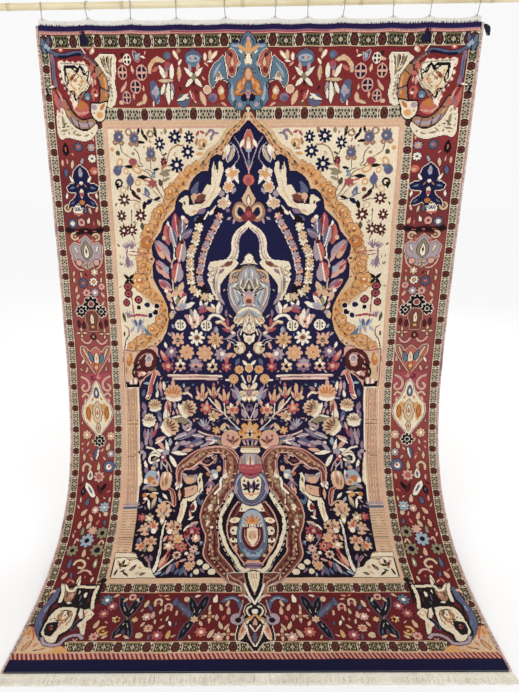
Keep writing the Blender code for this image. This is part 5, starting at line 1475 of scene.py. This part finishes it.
# ---- Materials --------------------------------------------------------------
class Nodes:
    """A Principled material and short ways to add nodes to it."""

    def __init__(self, name, roughness, **settings):
        self.material = bpy.data.materials.new(name)
        self.material.use_nodes = True
        self.tree = self.material.node_tree
        self.shader = self.tree.nodes["Principled BSDF"]
        self.set(self.shader, "Roughness", roughness)
        for key, value in settings.items():
            self.set(self.shader, key.replace("_", " "), value)

    def set(self, node, socket, value):
        if isinstance(value, bpy.types.NodeSocket):
            self.tree.links.new(value, node.inputs[socket])
        else:
            node.inputs[socket].default_value = value

    def add(self, kind, out=0, attributes=(), **inputs):
        """An output of a new node; inputs go by name, or as i0, i1 and so on."""
        node = self.tree.nodes.new("ShaderNode" + kind)
        for key, value in dict(attributes).items():
            setattr(node, key, value)
        for key, value in inputs.items():
            numbered = key[0] == "i" and key[1:].isdigit()
            self.set(node, int(key[1:]) if numbered else key.replace("_", " "), value)
        return node.outputs[out]

    def math(self, operation, *values):
        return self.add("Math", attributes={"operation": operation},
                        **{f"i{n}": v for n, v in enumerate(values)})

    def stretched(self, vector, scales):
        return self.add("VectorMath", attributes={"operation": "MULTIPLY"}, i0=vector, i1=scales)

    def uv(self, name):
        return self.add("UVMap", attributes={"uv_map": name})

    def split(self, vector):
        node = self.tree.nodes.new("ShaderNodeSeparateXYZ")
        self.set(node, 0, vector)
        return node.outputs[0], node.outputs[1], node.outputs[2]

    def place(self):
        """Object coordinates, which are the frame's own, in metres."""
        return self.add("TexCoord", out=3)

    def noise(self, vector, scale, detail=3.0, roughness=0.6):
        """Noise; scale is one number, or three where its grains are stretched."""
        if isinstance(scale, tuple):
            vector, scale = self.stretched(vector, scale), 1.0
        return self.add("TexNoise", Vector=vector, Scale=scale, Detail=detail,
                        Roughness=roughness)

    def ridges(self, value, count):
        """Rounded ridges, this many in each length of pi of the value."""
        return self.math("ABSOLUTE", self.math("SINE", self.math("MULTIPLY", value, count)))

    def ramp(self, value, *stops):
        """A colour or grey for each value: stops are (place, colour)."""
        node = self.tree.nodes.new("ShaderNodeValToRGB")
        self.set(node, 0, value)
        elements = node.color_ramp.elements
        while len(elements) < len(stops):
            elements.new(0.5)
        for element, (place, colour) in zip(elements, stops):
            element.position = place
            element.color = (*((colour,) * 3 if isinstance(colour, float) else colour), 1.0)
        return node.outputs[0]

    def mix(self, share, a, b, blend="MIX"):
        node = self.tree.nodes.new("ShaderNodeMix")
        node.data_type = "RGBA"
        node.blend_type = blend
        self.set(node, 0, share)
        self.set(node, 6, a)
        self.set(node, 7, b)
        return node.outputs[2]

    def bump(self, height, strength, distance):
        normal = self.add("Bump", Height=height, Strength=strength, Distance=distance)
        self.set(self.shader, "Normal", normal)

    def colour(self, colour):
        self.set(self.shader, "Base Color", colour)


def linear(rgb):
    """Scene colour of an sRGB colour given as 0 to 255."""
    return tuple(c / 12.92 if c <= 0.04045 else ((c + 0.055) / 1.055) ** 2.4
                 for c in (v / 255 for v in rgb))


def rgba(rgb):
    return (*linear(rgb), 1.0)


FADED_WOOL = (0.62, 0.52, 0.42, 1.0)


def wool_pile(name, fade):
    """Knotted wool: chart colours, abrash in bands, each knot a little its own shade."""
    n = Nodes(name, 0.96, Sheen_Weight=0.06, Sheen_Roughness=0.5, Specular_IOR_Level=0.08)
    knots = n.uv("knots")
    u, v, _ = n.split(knots)
    cell = n.add("CombineXYZ", i0=n.math("FLOOR", u), i1=n.math("FLOOR", v))
    own = n.add("TexWhiteNoise", attributes={"noise_dimensions": "2D"}, Vector=cell)
    bands = n.noise(knots, (0.003, 0.022, 1.0), 4.0)
    patch = n.noise(knots, (0.02, 0.03, 1.0), 3.0, 0.55)
    fibre = n.noise(knots, (1.1, 2.6, 1.0), 2.0)
    shade = n.math("MULTIPLY_ADD", own, 0.26, 0.87)
    for source, swing, least in ((bands, 0.42, 0.80), (patch, 0.24, 0.88), (fibre, 0.30, 0.85)):
        shade = n.math("MULTIPLY", shade, n.math("MULTIPLY_ADD", source, swing, least))
    # the colour attribute holds the chart's dyes, with painted shade near the rug's upper and lower
    # ends
    base = n.add("Attribute", attributes={"attribute_name": "dyes"})
    base = n.mix(fade, base, FADED_WOOL)
    grey = n.add("CombineColor", i0=shade, i1=shade, i2=shade)
    n.colour(n.mix(1.0, base, grey, "MULTIPLY"))
    ridge_v, ridge_u = n.ridges(v, math.pi), n.ridges(u, math.pi)
    height = n.math("MULTIPLY_ADD", ridge_v, 0.55, n.math("MULTIPLY", ridge_u, 0.35))
    height = n.math("ADD", height, n.math("MULTIPLY", fibre, 1.1))
    height = n.math("ADD", height, n.math("MULTIPLY", own, 0.35))
    n.bump(height, 0.55, 0.0011)
    return n.material


def yarn(name, colours, scale=(900.0, 900.0, 900.0)):
    """Plain yarn: two or three near colours in a fine noise."""
    n = Nodes(name, 0.95, Sheen_Weight=0.2, Sheen_Roughness=0.5, Specular_IOR_Level=0.2)
    place = n.place()
    fine = n.noise(place, scale, 2.0)
    broad = n.noise(place, 22.0)
    value = n.math("ADD", n.math("MULTIPLY", fine, 0.45), n.math("MULTIPLY", broad, 0.55))
    stops = [(0.30 + 0.40 * i / (len(colours) - 1), linear(c)) for i, c in enumerate(colours)]
    n.colour(n.ramp(value, *stops))
    n.bump(fine, 0.5, 0.0006)
    return n.material


def bamboo_material():
    """Pale cane with a long grain, its knots ringed with brown."""
    n = Nodes("bamboo", 0.42, Specular_IOR_Level=0.45, Coat_Weight=0.12, Coat_Roughness=0.3)
    place = n.place()
    x, _, _ = n.split(place)
    grain = n.noise(place, (9.0, 900.0, 900.0))
    broad = n.noise(place, (7.0, 40.0, 40.0))
    value = n.math("ADD", n.math("MULTIPLY", grain, 0.4), n.math("MULTIPLY", broad, 0.6))
    colour = n.ramp(value, (0.25, linear((190, 170, 128))), (0.5, linear((222, 208, 170))),
                    (0.75, linear((240, 232, 206))))
    for knot in ROD_KNOTS:
        near = n.math("ABSOLUTE", n.math("SUBTRACT", x, knot))
        ring = n.ramp(n.math("MULTIPLY", near, 120.0), (0.0, 0.62), (0.28, 0.0), (0.34, 0.34),
                      (1.0, 0.0))
        colour = n.mix(ring, colour, rgba((120, 92, 52)))
    n.colour(colour)
    n.bump(grain, 0.3, 0.0005)
    return n.material


def wire_material():
    """Dull grey wire, its shine uneven."""
    n = Nodes("hook_wire", 0.38, Metallic=1.0)
    spots = n.noise(n.place(), 420.0)
    n.colour(n.ramp(spots, (0.3, linear((120, 118, 112))), (0.7, linear((176, 176, 174)))))
    n.set(n.shader, "Roughness", n.math("MULTIPLY_ADD", spots, 0.3, 0.25))
    n.bump(spots, 0.2, 0.0003)
    return n.material


def selvedge_material():
    """Pink and mauve wool that changes along the side, with painted shade darkening it where wraps
    part.
    """
    n = Nodes("selvedge_wool", 0.95, Sheen_Weight=0.25, Sheen_Roughness=0.5,
              Specular_IOR_Level=0.15)
    place = n.place()
    lengths = n.noise(place, (3.0, 9.0, 9.0), 3.0, 0.7)
    wraps = n.noise(place, (60.0, 300.0, 300.0), 2.0)
    base = n.ramp(lengths, (0.30, linear((150, 124, 124))), (0.45, linear((204, 186, 176))),
                  (0.58, linear((212, 180, 166))), (0.72, linear((158, 130, 128))))
    # painted shade: darker in the gaps between the wraps
    dark = n.ramp(wraps, (0.35, 0.75), (0.50, 0.0))
    n.colour(n.mix(dark, base, rgba((84, 42, 56))))
    n.bump(wraps, 0.5, 0.0006)
    return n.material


def web_material():
    """Plain weave of undyed cotton: warp and weft about a millimetre apart, the colour darkened
    between threads as painted shade.
    """
    n = Nodes("cotton_web", 0.95, Sheen_Weight=0.15, Sheen_Roughness=0.5,
              Specular_IOR_Level=0.2)
    place = n.place()
    x, _, z = n.split(place)
    weave = n.math("MULTIPLY", n.ridges(x, 2200.0), n.ridges(z, 2600.0))
    dirt = n.noise(place, 60.0)
    # the weave darkens the colour between threads: painted shade
    value = n.math("ADD", n.math("MULTIPLY", weave, 0.5), n.math("MULTIPLY", dirt, 0.5))
    n.colour(n.ramp(value, (0.15, linear((196, 188, 172))), (0.42, linear((240, 236, 226))),
                    (0.8, linear((252, 250, 244)))))
    n.bump(weave, 0.7, 0.0008)
    return n.material


# ---- The rug's pile and back ------------------------------------------------
# Colours of the red, the navy, the guards' ground and the dark olive down the rug, at how many
# mm, and the colour there: dye batches, with painted shade darkening the upper and lower ends.
ABRASH_AND_END_SHADE = {
    "R": [(0, (108, 34, 40)), (110, (120, 40, 42)), (300, (132, 52, 52)), (430, (106, 42, 46)),
          (560, (116, 50, 52)), (630, (144, 72, 66)), (720, (138, 66, 64)),
          (900, (142, 74, 70)), (1150, (140, 68, 68)), (1350, (136, 64, 60)),
          (1480, (120, 46, 46)), (1700, (98, 32, 34)), (2100, (98, 24, 28))],
    "N": [(0, (34, 25, 66)), (26, (34, 25, 62)), (60, (22, 22, 50)), (450, (26, 26, 62)),
          (1000, (32, 29, 62)), (1300, (32, 26, 54)), (1500, (28, 20, 38)),
          (1790, (23, 16, 31)), (2040, (19, 17, 52)), (2100, (16, 15, 50))],
    "J": [(0, (96, 90, 66)), (64, (98, 92, 68)), (150, (168, 158, 134)), (230, (188, 176, 154)),
          (1100, (186, 176, 156)), (1400, (166, 156, 134)), (1700, (136, 124, 96)),
          (2000, (130, 114, 80)), (2100, (130, 114, 80))],
    "D": [(0, (38, 34, 24)), (64, (38, 34, 24)), (230, (78, 72, 58)), (1100, (80, 74, 60)),
          (1500, (62, 54, 40)), (1800, (38, 32, 22)), (2100, (38, 32, 22))],
}
BANDS = 6
BACK_BANDS = 3
BACK_STEP = 2           # the back shows every second knot each way
BACK_FADE = 0.22        # share of the faded wool on the back
LONGEST_RUN = 6         # knots in one face at most
WOBBLE = 1.0            # mm, the knots' places wander by about this much
STEADY_EDGE = 30        # mm from the rug's edges, where the wander dies away
BAKE_MARGIN = 0.003     # round each half of the design in the bake layout


def knot_place(column, row):
    """x and run on the real rug of the chart's grid point."""
    x, y = column * KNOT - HALF, row * ROW
    inner = np.clip((HALF - np.abs(x)) / STEADY_EDGE, 0, 1) * np.clip(
        np.minimum(y, LENGTH - y) / STEADY_EDGE, 0, 1)
    side = 0.6 * np.sin(y / 47 + 0.9 * np.sin(x / 83)) + 0.4 * np.sin(y / 19 + x / 61)
    along = 0.6 * np.sin(x / 53 + 1.7 * np.sin(y / 131)) + 0.4 * np.sin(x / 17 + y / 71)
    u = x + shift_at(y) * (1 - (x / HALF) ** 2) + WOBBLE * side * inner
    return u / 1000, (y + WOBBLE * along * inner) / 1000


def dye_runs(part):
    """Row, first column and the column past the last of each run of knots in one dye."""
    columns = part.shape[1]
    new = np.ones(part.shape, dtype=bool)
    new[:, 1:] = part[:, 1:] != part[:, :-1]
    new[:, ::LONGEST_RUN] = True
    new[:, columns // 2] = True
    row, first = np.nonzero(new)
    past = np.append(first[1:], columns)
    return row, first, np.where(past == 0, columns, past)


def dye_and_shade_colours(inks, y):
    """Linear colour of each ink's number at y mm down the rug, by its dye batch there, with painted
    shade near the upper and lower ends.
    """
    shades = np.array([rgba(colour) for colour in PALETTE.values()], dtype=np.float32)[inks]
    # the tables darken the rug's upper and lower ends: painted shade
    for ink, colours_by_mm in ABRASH_AND_END_SHADE.items():
        heights, colours_down = zip(*colours_by_mm)
        tones = np.array([rgba(colour) for colour in colours_down])
        inked = inks == INKS.index(ink)
        for i in range(3):
            shades[inked, i] = np.interp(y[inked], heights, tones[:, i])
    return shades


def quad_mesh(name, points, faces):
    """A mesh of very many quads, filled array by array."""
    mesh = bpy.data.meshes.new(name)
    count = len(faces)
    mesh.vertices.add(len(points))
    mesh.vertices.foreach_set("co", points.astype(np.float32).ravel())
    mesh.loops.add(count * 4)
    mesh.loops.foreach_set("vertex_index", faces.astype(np.int32).ravel())
    mesh.polygons.add(count)
    mesh.polygons.foreach_set("loop_start", np.arange(count, dtype=np.int32) * 4)
    mesh.polygons.foreach_set("loop_total", np.full(count, 4, dtype=np.int32))
    mesh.update(calc_edges=True)
    mesh.validate()
    return mesh


def knotted_band(name, design, first, last, step, rise, front, material):
    """Rows first to last of the design as faces, each a run of knots in one dye."""
    part = design[first:last:step, ::step]
    rows, columns = part.shape
    middle, line = columns // 2, columns + 1
    r, c0, c1 = dye_runs(part)
    quads = np.stack([(r + 1) * line + c0, (r + 1) * line + c1, r * line + c1, r * line + c0], -1)
    if not front:
        quads = quads[:, ::-1]
    used, faces = np.unique(quads, return_inverse=True)
    x, run = knot_place(np.minimum((used % line) * step, 2 * HALF_COLUMNS),
                        np.minimum(first + (used // line) * step, last))
    normals = cloth_normal(x, run)
    uneven = 0.00025 * np.sin(x * 210 + np.sin(run * 90)) * np.sin(run * 170)
    points = cloth_point(x, run) + normals * (rise + uneven * front)[:, None]
    points[:, 2] = np.maximum(points[:, 2], 0.0)
    mesh = quad_mesh(name, points, faces.reshape(quads.shape))
    # the knots' colours: dyes, with painted shade near the rug's upper and lower ends
    dyes = mesh.color_attributes.new("dyes", "BYTE_COLOR", "CORNER")
    shades = dye_and_shade_colours(part[r, c0], (first + r * step) * ROW)
    dyes.data.foreach_set("color", np.repeat(shades, 4, axis=0).ravel())
    grid_c, grid_r = quads % line, quads // line
    uv_layer(mesh, "knots", np.stack([grid_c * step, first + grid_r * step], -1))
    left = (c1 <= middle)[:, None]
    across = np.where(left, grid_c / middle, (grid_c - middle) / (columns - middle))
    uv_layer(mesh, "OFBake", np.stack([
        BAKE_MARGIN + (1 - 2 * BAKE_MARGIN) * across,
        np.where(left, 0.5, 0.0) + BAKE_MARGIN + (0.5 - 2 * BAKE_MARGIN) * (1 - grid_r / rows),
    ], -1))
    mesh.materials.append(material)
    mesh.shade_smooth()
    mesh.normals_split_custom_set_from_vertices((normals * (1 if front else -1)).tolist())
    obj = in_scene(name, mesh)
    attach(obj, "root")
    return obj


def knot_design():
    """The whole design, row by row, as the numbers of its inks."""
    knot_fields()
    for inks, first, last, across, down, share in ARCH_LINES:
        stroke(inks, 0, [(u + across * w, y + down * w, share * w)
                         for u, y, w in GOLD_BAND[first:last]])
    knot_arch(ARCH_LUMPS)
    knot_table(ARCH_FRUITS)
    knot_arch(ARCH_SCALES)
    for text in (FIELD, SPANDREL, NICHE, BEDS, LOWER_FIELD, BRACKET, SIDE_BORDER,
                 TOP_BORDER, BOTTOM_BORDER):
        knot_table(text)
    design = np.hstack([chart, chart[:, ::-1]])
    knot_end_stripe(design)
    return design


def build_pile():
    """The bands of the knotted pile, and those of the back."""
    design = knot_design()
    front, back = wool_pile("wool_pile", 0.0), wool_pile("wool_back", BACK_FADE)
    made = []
    for band in range(BANDS):
        first, last = (round(ROWS * b / BANDS) for b in (band, band + 1))
        made.append(knotted_band(
            f"pile_{band + 1}", design, first, last, 1, PILE_THICKNESS, True, front))
    for band in range(BACK_BANDS):
        first, last = (BACK_STEP * round(ROWS * b / BACK_BANDS / BACK_STEP)
                       for b in (band, band + 1))
        made.append(knotted_band(
            f"back_{band + 1}", design, first, min(last, ROWS), BACK_STEP, 0.0, False, back))
    return made


FOUNDATION_GRID = (190, 66)
FOUNDATION_INSET = 0.0002   # from the pile's ends and sides
FOUNDATION_UNDER = 0.0005   # its under side, over the rug's back
FOUNDATION_DEPTH = 0.0008   # its upper side, under the pile's face


def build_foundation(material):
    """The rug's closed body under the pile."""
    rows, columns = FOUNDATION_GRID
    half = HALF_WIDTH - FOUNDATION_INSET
    x = np.linspace(-half, half, columns)[None, :]
    run = np.linspace(FOUNDATION_INSET, RUG_LENGTH - FOUNDATION_INSET, rows)[:, None]
    over = cloth_point(x, run, PILE_THICKNESS - FOUNDATION_DEPTH).reshape(-1, 3)
    under = cloth_point(x, run, FOUNDATION_UNDER).reshape(-1, 3)
    faces = grid_faces(rows, columns)
    obj = mesh_object(
        "rug_foundation", np.vstack([over, under]), faces[:, ::-1].tolist()
        + (faces + rows * columns).tolist() + rim_walls(rows, columns), material)
    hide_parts("rug")
    return obj


# ---- Side bindings ----------------------------------------------------------
WRAPS = 620                 # turns of yarn down one side
WRAP_RINGS = 3              # rings of points in a turn
WRAP_DEPTH = 0.0006         # of the groove between two wraps
WRAP_SPREAD = 0.00018       # a wrap's radius is off by up to this much


def build_selvedge(name, side, material):
    """Cord along a long side, overcast with yarn: each wrap is a slanting ridge."""
    rings, sides = WRAPS * WRAP_RINGS, 10
    run = np.linspace(0, RUG_LENGTH, rings)
    path = cloth_point(side * HALF_WIDTH, run, PILE_THICKNESS / 2)
    path[:, 0] += side * (PART_GAP + SELVEDGE_DIAMETER / 2)
    wander = 0.00025 * np.sin(run * 37) + 0.0002 * np.sin(run * 91 + side)
    path[:, 0] += side * wander
    phase = run[:, None] / RUG_LENGTH * WRAPS * 2 * math.pi + circle(sides) * side
    ridge = 0.5 + 0.5 * np.cos(phase)
    own = dice.uniform(-WRAP_SPREAD, WRAP_SPREAD, WRAPS + 2)[
        np.clip(phase / (2 * math.pi) + 1, 0, WRAPS + 1).astype(int)]
    radius = SELVEDGE_DIAMETER / 2 - WRAP_DEPTH + WRAP_DEPTH * np.sqrt(ridge) + own
    points = tube(path, radius, sides)
    points[:, 2] = np.maximum(points[:, 2], 0.0)
    obj = mesh_object("binding_" + name.split("_")[1], points, tube_faces(rings, sides), material)
    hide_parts(name)
    return obj


# ---- Upper end --------------------------------------------------------------
WEB_GRID = (9, 1281)
WEB_FRAY = 0.0008           # the web's edge stays this far below the solid's
WEB_LIP = 0.95              # share of the web's height from which its edge is thinner
TEETH_INSET = 0.004         # from the rug's sides
TEETH_FRONT = 0.0046        # in front of the rug's back
TEETH_GAP = (0.0026, 0.0062)
TOOTH_WIDTH = (0.0018, 0.0040)
TOOTH_HEIGHT = (0.0012, 0.0042)
TOOTH_LEAN = (-0.002, 0.003)
# How ragged the row of teeth is: x places, and the growth of the teeth there.
RAGGED_AT, RAGGED = (-0.60, -0.55, 0.30, 0.45), (0.7, 0.1, 0.2, 1.0)


def build_web(material):
    """Woven end strip, drawn up at each hook and its upper edge a little frayed."""
    rows, columns = WEB_GRID
    x = np.linspace(-HALF_WIDTH, HALF_WIDTH, columns)
    t = np.linspace(0, 1, rows)[:, None]
    low = upper_end(x) + PART_GAP
    fray = 0.0005 * np.sin(x * 2600) + 0.0003 * np.sin(x * 911 + 2)
    top = upper_end(x) + web_top(x) - WEB_FRAY + fray
    z = HANG_HEIGHT + low + (top - low) * t
    half = WEB_THICKNESS / 2
    ripple = 0.0003 * np.sin(x * 700) * np.sin(t * 9)
    sheets = []
    for face in (-1, 1):
        y = RUG_BACK_Y + ROD_Y + face * (half - 0.0003 * (t > WEB_LIP)) + ripple
        sheets.append(np.stack([np.broadcast_to(x, z.shape), y, z], -1).reshape(-1, 3))
    faces = grid_faces(rows, columns)
    obj = mesh_object(
        "end_web", np.vstack(sheets), faces.tolist()
        + (faces[:, ::-1] + rows * columns).tolist() + rim_walls(rows, columns), material)
    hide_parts("top_web")
    return obj


def build_teeth(material):
    """The last row's navy yarn, biting unevenly into the web in front."""
    points, faces = [], []
    turn = circle(6)
    x = -HALF_WIDTH + TEETH_INSET
    while x < HALF_WIDTH - TEETH_INSET:
        ragged = 1 + 1.1 * float(np.interp(x, RAGGED_AT, RAGGED))
        wide, tall = dice.uniform(*TOOTH_WIDTH), dice.uniform(*TOOTH_HEIGHT) * ragged
        lean = dice.uniform(*TOOTH_LEAN)
        z = HANG_HEIGHT + float(upper_end(x))
        faces += tube_faces(4, len(turn), len(points), both_ends=False)
        for dz, w, out in ((-0.001, 1.0, 0.0), (0.3 * tall, 0.9, 0.0002),
                           (0.7 * tall, 0.6, 0.0001), (tall, 0.1, 0.0)):
            points += [(x + lean * dz / tall + w * wide * math.cos(a) / 2,
                        RUG_BACK_Y - TEETH_FRONT - out + 0.0006 * math.sin(a), z + dz)
                       for a in turn]
        x += dice.uniform(*TEETH_GAP)
    obj = mesh_object("web_teeth", points, faces, material)
    return obj


# ---- Lower end --------------------------------------------------------------
FRINGE_LOCKS = 260
LOCK_STRANDS = 6
STRAND_RADIUS = 0.0009
STRAND_GAP = 0.18           # between a lock's strands, as a share of the locks' pitch
LOCK_LEAN = 0.0018          # a lock's tip is off to a side by up to this much
LOCK_BOW = 0.0009           # and its middle by up to this much
LOCK_LENGTH = (0.90, 0.99)  # as shares of the longest
FLOOR_GAP = 0.0001          # the fringe stays this far inside the solid's height


def build_fringe(material):
    """Short warp ends, each a bunch of twisted strands lying on the floor."""
    points, faces = [], []
    rings, sides = 6, 4
    pitch = RUG_WIDTH / FRINGE_LOCKS
    turn = math.atan(RISE_PER_METRE)
    centre = np.array([float(drift(RUG_LENGTH)), RUG_BACK_Y - REACH - PART_GAP, 0.0])
    t = np.linspace(0, 1, rings)
    for lock in range(FRINGE_LOCKS):
        middle = -RUG_WIDTH / 2 + (lock + 0.5) * pitch
        splay = FRINGE_SPLAY * (middle / (RUG_WIDTH / 2)) ** 9
        lean = splay + dice.uniform(-LOCK_LEAN, LOCK_LEAN)
        length = (FRINGE_LENGTH + FRINGE_STRIP - 0.001) * dice.uniform(*LOCK_LENGTH)
        bow = dice.uniform(-LOCK_BOW, LOCK_BOW)
        for strand in range(LOCK_STRANDS):
            offset = ((strand - (LOCK_STRANDS - 1) / 2) * pitch * STRAND_GAP
                      + dice.uniform(-0.0004, 0.0004))
            own = length * dice.uniform(0.92, 1.0)
            tip = dice.uniform(-0.0012, 0.0012)
            height = dice.uniform(0.0010, 0.0026)
            path = np.stack([
                middle + offset + (lean + tip) * t**1.4 + bow * np.sin(t * math.pi)
                + 0.0004 * np.sin(t * 14 + strand),
                -own * t,
                STRAND_RADIUS + 0.0013 * (1 - t) ** 2 + height * np.sin(t * 2.6) * 0.55,
            ], -1)
            faces += tube_faces(rings, sides, len(points), both_ends=False)
            points += tube(path, STRAND_RADIUS * (1 - 0.35 * t), sides).tolist()
    points = np.array(points)
    points[:, 2] = np.clip(points[:, 2], FLOOR_GAP, FRINGE_HEIGHT - FLOOR_GAP)
    x, y = points[:, 0].copy(), points[:, 1].copy()
    points[:, 0] = centre[0] + x * math.cos(turn) - y * math.sin(turn)
    points[:, 1] = centre[1] + x * math.sin(turn) + y * math.cos(turn)
    obj = mesh_object("fringe", points, faces, material)
    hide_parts("fringe_bottom")
    return obj


TUFT_STRANDS = 34
TUFT_STRAND_RADIUS = 0.0012
TUFT_TWIST = 3.2            # radians from the tuft's root to its end


def build_tuft(material):
    """Loose end of yarn at the upper right corner."""
    edge = RUG_WIDTH / 2 + PART_GAP
    start = np.array([edge, RUG_BACK_Y - PILE_THICKNESS / 2,
                      HANG_HEIGHT + float(upper_end(edge)) - TUFT_DEPTH])
    line = smooth_line([(out, -forward, -down, size) for out, forward, down, size in TUFT_PATH],
                       0.0016)
    points, faces = [], []
    t = np.linspace(0, 1, len(line))
    for _ in range(TUFT_STRANDS):
        angle, far = dice.uniform(0, 2 * math.pi), dice.uniform(0.15, 1.45)
        spin = angle + TUFT_TWIST * t
        ring_out = far * TUFT_RADIUS * line[:, 3]
        path = start + line[:, :3] + np.stack(
            [ring_out * np.cos(spin), ring_out * np.sin(spin) * 0.8, 0 * t], -1)
        cut = int(len(line) * dice.uniform(0.8, 1.0))
        faces += tube_faces(cut, 6, len(points), both_ends=False)
        points += tube(path[:cut], TUFT_STRAND_RADIUS * (1 - 0.4 * t[:cut]), 6).tolist()
    obj = mesh_object("yarn_end", points, faces, material)
    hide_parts("corner_tuft")
    return obj


# ---- Rod and hooks ----------------------------------------------------------
SWELL_HEIGHT = 0.0010       # of the two swellings at a knot of the rod
SWELL_PLACE = 0.0035        # from the knot's middle
SWELL_WIDTH = 0.0026
GROOVE_DEPTH = 0.0006       # of the groove between them
GROOVE_WIDTH = 0.0013


def build_rod(material):
    """Bamboo, not quite round, each knot a swelling with a groove across it."""
    rings, sides = 641, 32
    along = np.linspace(-ROD_LENGTH / 2, ROD_LENGTH / 2, rings)
    radius = np.full(rings, ROD_RADIUS)
    for place in ROD_KNOTS:
        d = along - place
        radius += SWELL_HEIGHT * np.exp(-(np.abs(d) - SWELL_PLACE) ** 2 / SWELL_WIDTH**2)
        radius -= GROOVE_DEPTH * np.exp(-(d / GROOVE_WIDTH) ** 2)
    angle = circle(sides)
    shape = 1 + 0.010 * np.cos(2 * angle + 0.6)[None, :] + 0.004 * np.sin(
        3 * angle[None, :] + along[:, None] * 3)
    rise = math.atan(ROD_RISE_PER_METRE)
    middle = np.stack([along * math.cos(rise), np.zeros(rings), along * math.sin(rise)], -1)
    out = (np.cos(angle)[None, :, None] * np.array([0.0, 1.0, 0.0])
           + np.sin(angle)[None, :, None] * np.array([-math.sin(rise), 0.0, math.cos(rise)]))
    points = middle[:, None] + out * (radius[:, None] * shape)[..., None]
    points = points + np.array([0.0, RUG_BACK_Y + ROD_Y, rod_height(0.0)])
    faces = [face[::-1] for face in tube_faces(rings, sides)]
    obj = mesh_object("bamboo_rod", points.reshape(-1, 3), faces, material)
    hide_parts("rod")


def build_hook(index, x, turn, material):
    """Wire over the rod, down in front of it and through the web."""
    top = rod_height(x) + ROD_RADIUS + PART_GAP + WIRE_RADIUS - HOOK_TOP_RADIUS
    foot = WEB_PEAK_HEIGHT - FOOT_CENTRE_DEPTH + RISE_PER_METRE * x
    path = [(HOOK_TOP_RADIUS, top - HOOK_TAIL)]
    for step in range(9):
        a = math.pi * step / 8
        path.append((HOOK_TOP_RADIUS * math.cos(a), top + HOOK_TOP_RADIUS * math.sin(a)))
    path.append((-HOOK_NECK_OFFSET, top - HOOK_TOP_RADIUS))
    for step in range(7):
        a = math.pi * (1 + step / 6)
        path.append((HOOK_FOOT_RADIUS * math.cos(a), foot + HOOK_FOOT_RADIUS * math.sin(a)))
    path.append((HOOK_FOOT_OFFSET, foot + HOOK_FOOT_LIFT))
    line = smooth_line([(y, z, 0.0) for y, z in path], 0.0016)[:, :2]
    turn = math.radians(turn)
    points = np.stack([
        x - line[:, 0] * math.sin(turn), RUG_BACK_Y + ROD_Y + line[:, 0] * math.cos(turn),
        line[:, 1],
    ], -1)
    radius = np.full(len(points), WIRE_RADIUS)
    radius[[0, -1]] *= 0.55
    sides = 10
    obj = mesh_object(f"wire_{index:02d}", tube(points, radius, sides),
                      tube_faces(len(points), sides), material)
    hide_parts(f"hook_{index:02d}")
    return obj


# ---- Making it all ----------------------------------------------------------
cloth_parts = build_pile()
foundation = build_foundation(yarn("foundation", [(20, 18, 40), (34, 28, 56)]))
selvedge_look = selvedge_material()
cotton_look = yarn("cotton_fringe", [(222, 212, 190), (246, 240, 224), (255, 252, 242)],
                   scale=(700.0, 120.0, 700.0))
navy_look = yarn("navy_yarn", [(18, 17, 34), (36, 36, 66)])
selvedges = [build_selvedge("selvedge_left", -1, selvedge_look),
             build_selvedge("selvedge_right", 1, selvedge_look)]
web = build_web(web_material())
teeth = build_teeth(navy_look)
fringe = build_fringe(cotton_look)
tuft = build_tuft(navy_look)
build_rod(bamboo_material())
wire_look = wire_material()
hooks = [build_hook(i + 1, x, turn, wire_look) for i, (x, turn) in enumerate(HOOKS)]


# ---- Floor, light and camera ------------------------------------------------
FLOOR_SIZE = 60.0
FLOOR_DEPTH = 0.0005        # under the rug
WORLD_STRENGTH = 0.95
# Square lights: name, place, what it points at, size and power.
LIGHTS = [
    ("key", (-1.8, -3.4, 1.9), (0.0, 0.0, 0.7), 2.4, 24.0),
    ("fill", (2.3, -3.0, 1.5), (0.0, 0.0, 0.6), 2.4, 10.0),
    ("back", (0.6, 3.2, 2.6), (0.0, 0.3, 0.9), 2.0, 16.0),
]
CAMERA_PLACE = (0.015, RUG_BACK_Y - 1.7177, 1.1847)
CAMERA_LENS = 27.05         # mm, on a sensor 36 mm wide
CAMERA_DIP = 17.165         # degrees under the level
CAMERA_ROLL = 0.874


def build_floor():
    """Pale floor, far larger than the view."""
    look = Nodes("studio_pale", 0.9, Specular_IOR_Level=0.2)
    look.colour(rgba((254, 254, 254)))
    half = FLOOR_SIZE / 2
    mesh = bpy.data.meshes.new("floor")
    mesh.from_pydata([(-half, -half, 0), (half, -half, 0), (half, half, 0), (-half, half, 0)],
                     [], [(0, 1, 2, 3)])
    mesh.materials.append(look.material)
    obj = in_scene("floor", mesh)
    obj.location = (0.0, 0.0, -FLOOR_DEPTH)


def build_lights():
    """Three soft lights in a white world."""
    for name, place, target, size, power in LIGHTS:
        light = bpy.data.lights.new(name, "AREA")
        light.shape, light.size, light.energy = "SQUARE", size, power
        obj = in_scene(name, light)
        obj.location = place
        aim = Vector(target) - Vector(place)
        obj.rotation_euler = aim.to_track_quat("-Z", "Y").to_euler()
    world = bpy.data.worlds.new("studio")
    bpy.context.scene.world = world
    world.use_nodes = True
    background = world.node_tree.nodes["Background"]
    background.inputs[0].default_value = (1.0, 1.0, 1.0, 1.0)
    background.inputs[1].default_value = WORLD_STRENGTH


def build_camera():
    """The photo's view: a phone held a little askew, looking slightly down."""
    camera = in_scene("camera", bpy.data.cameras.new("camera"))
    camera.data.sensor_width = 36.0
    camera.data.lens = CAMERA_LENS
    camera.location = CAMERA_PLACE
    camera.rotation_mode = "QUATERNION"
    camera.rotation_quaternion = (
        Euler((math.radians(90 - CAMERA_DIP), 0.0, 0.0)).to_quaternion()
        @ Euler((0.0, 0.0, math.radians(CAMERA_ROLL))).to_quaternion())
    bpy.context.scene.camera = camera


build_floor()
build_lights()
build_camera()
bpy.context.scene.view_settings.view_transform = "Standard"
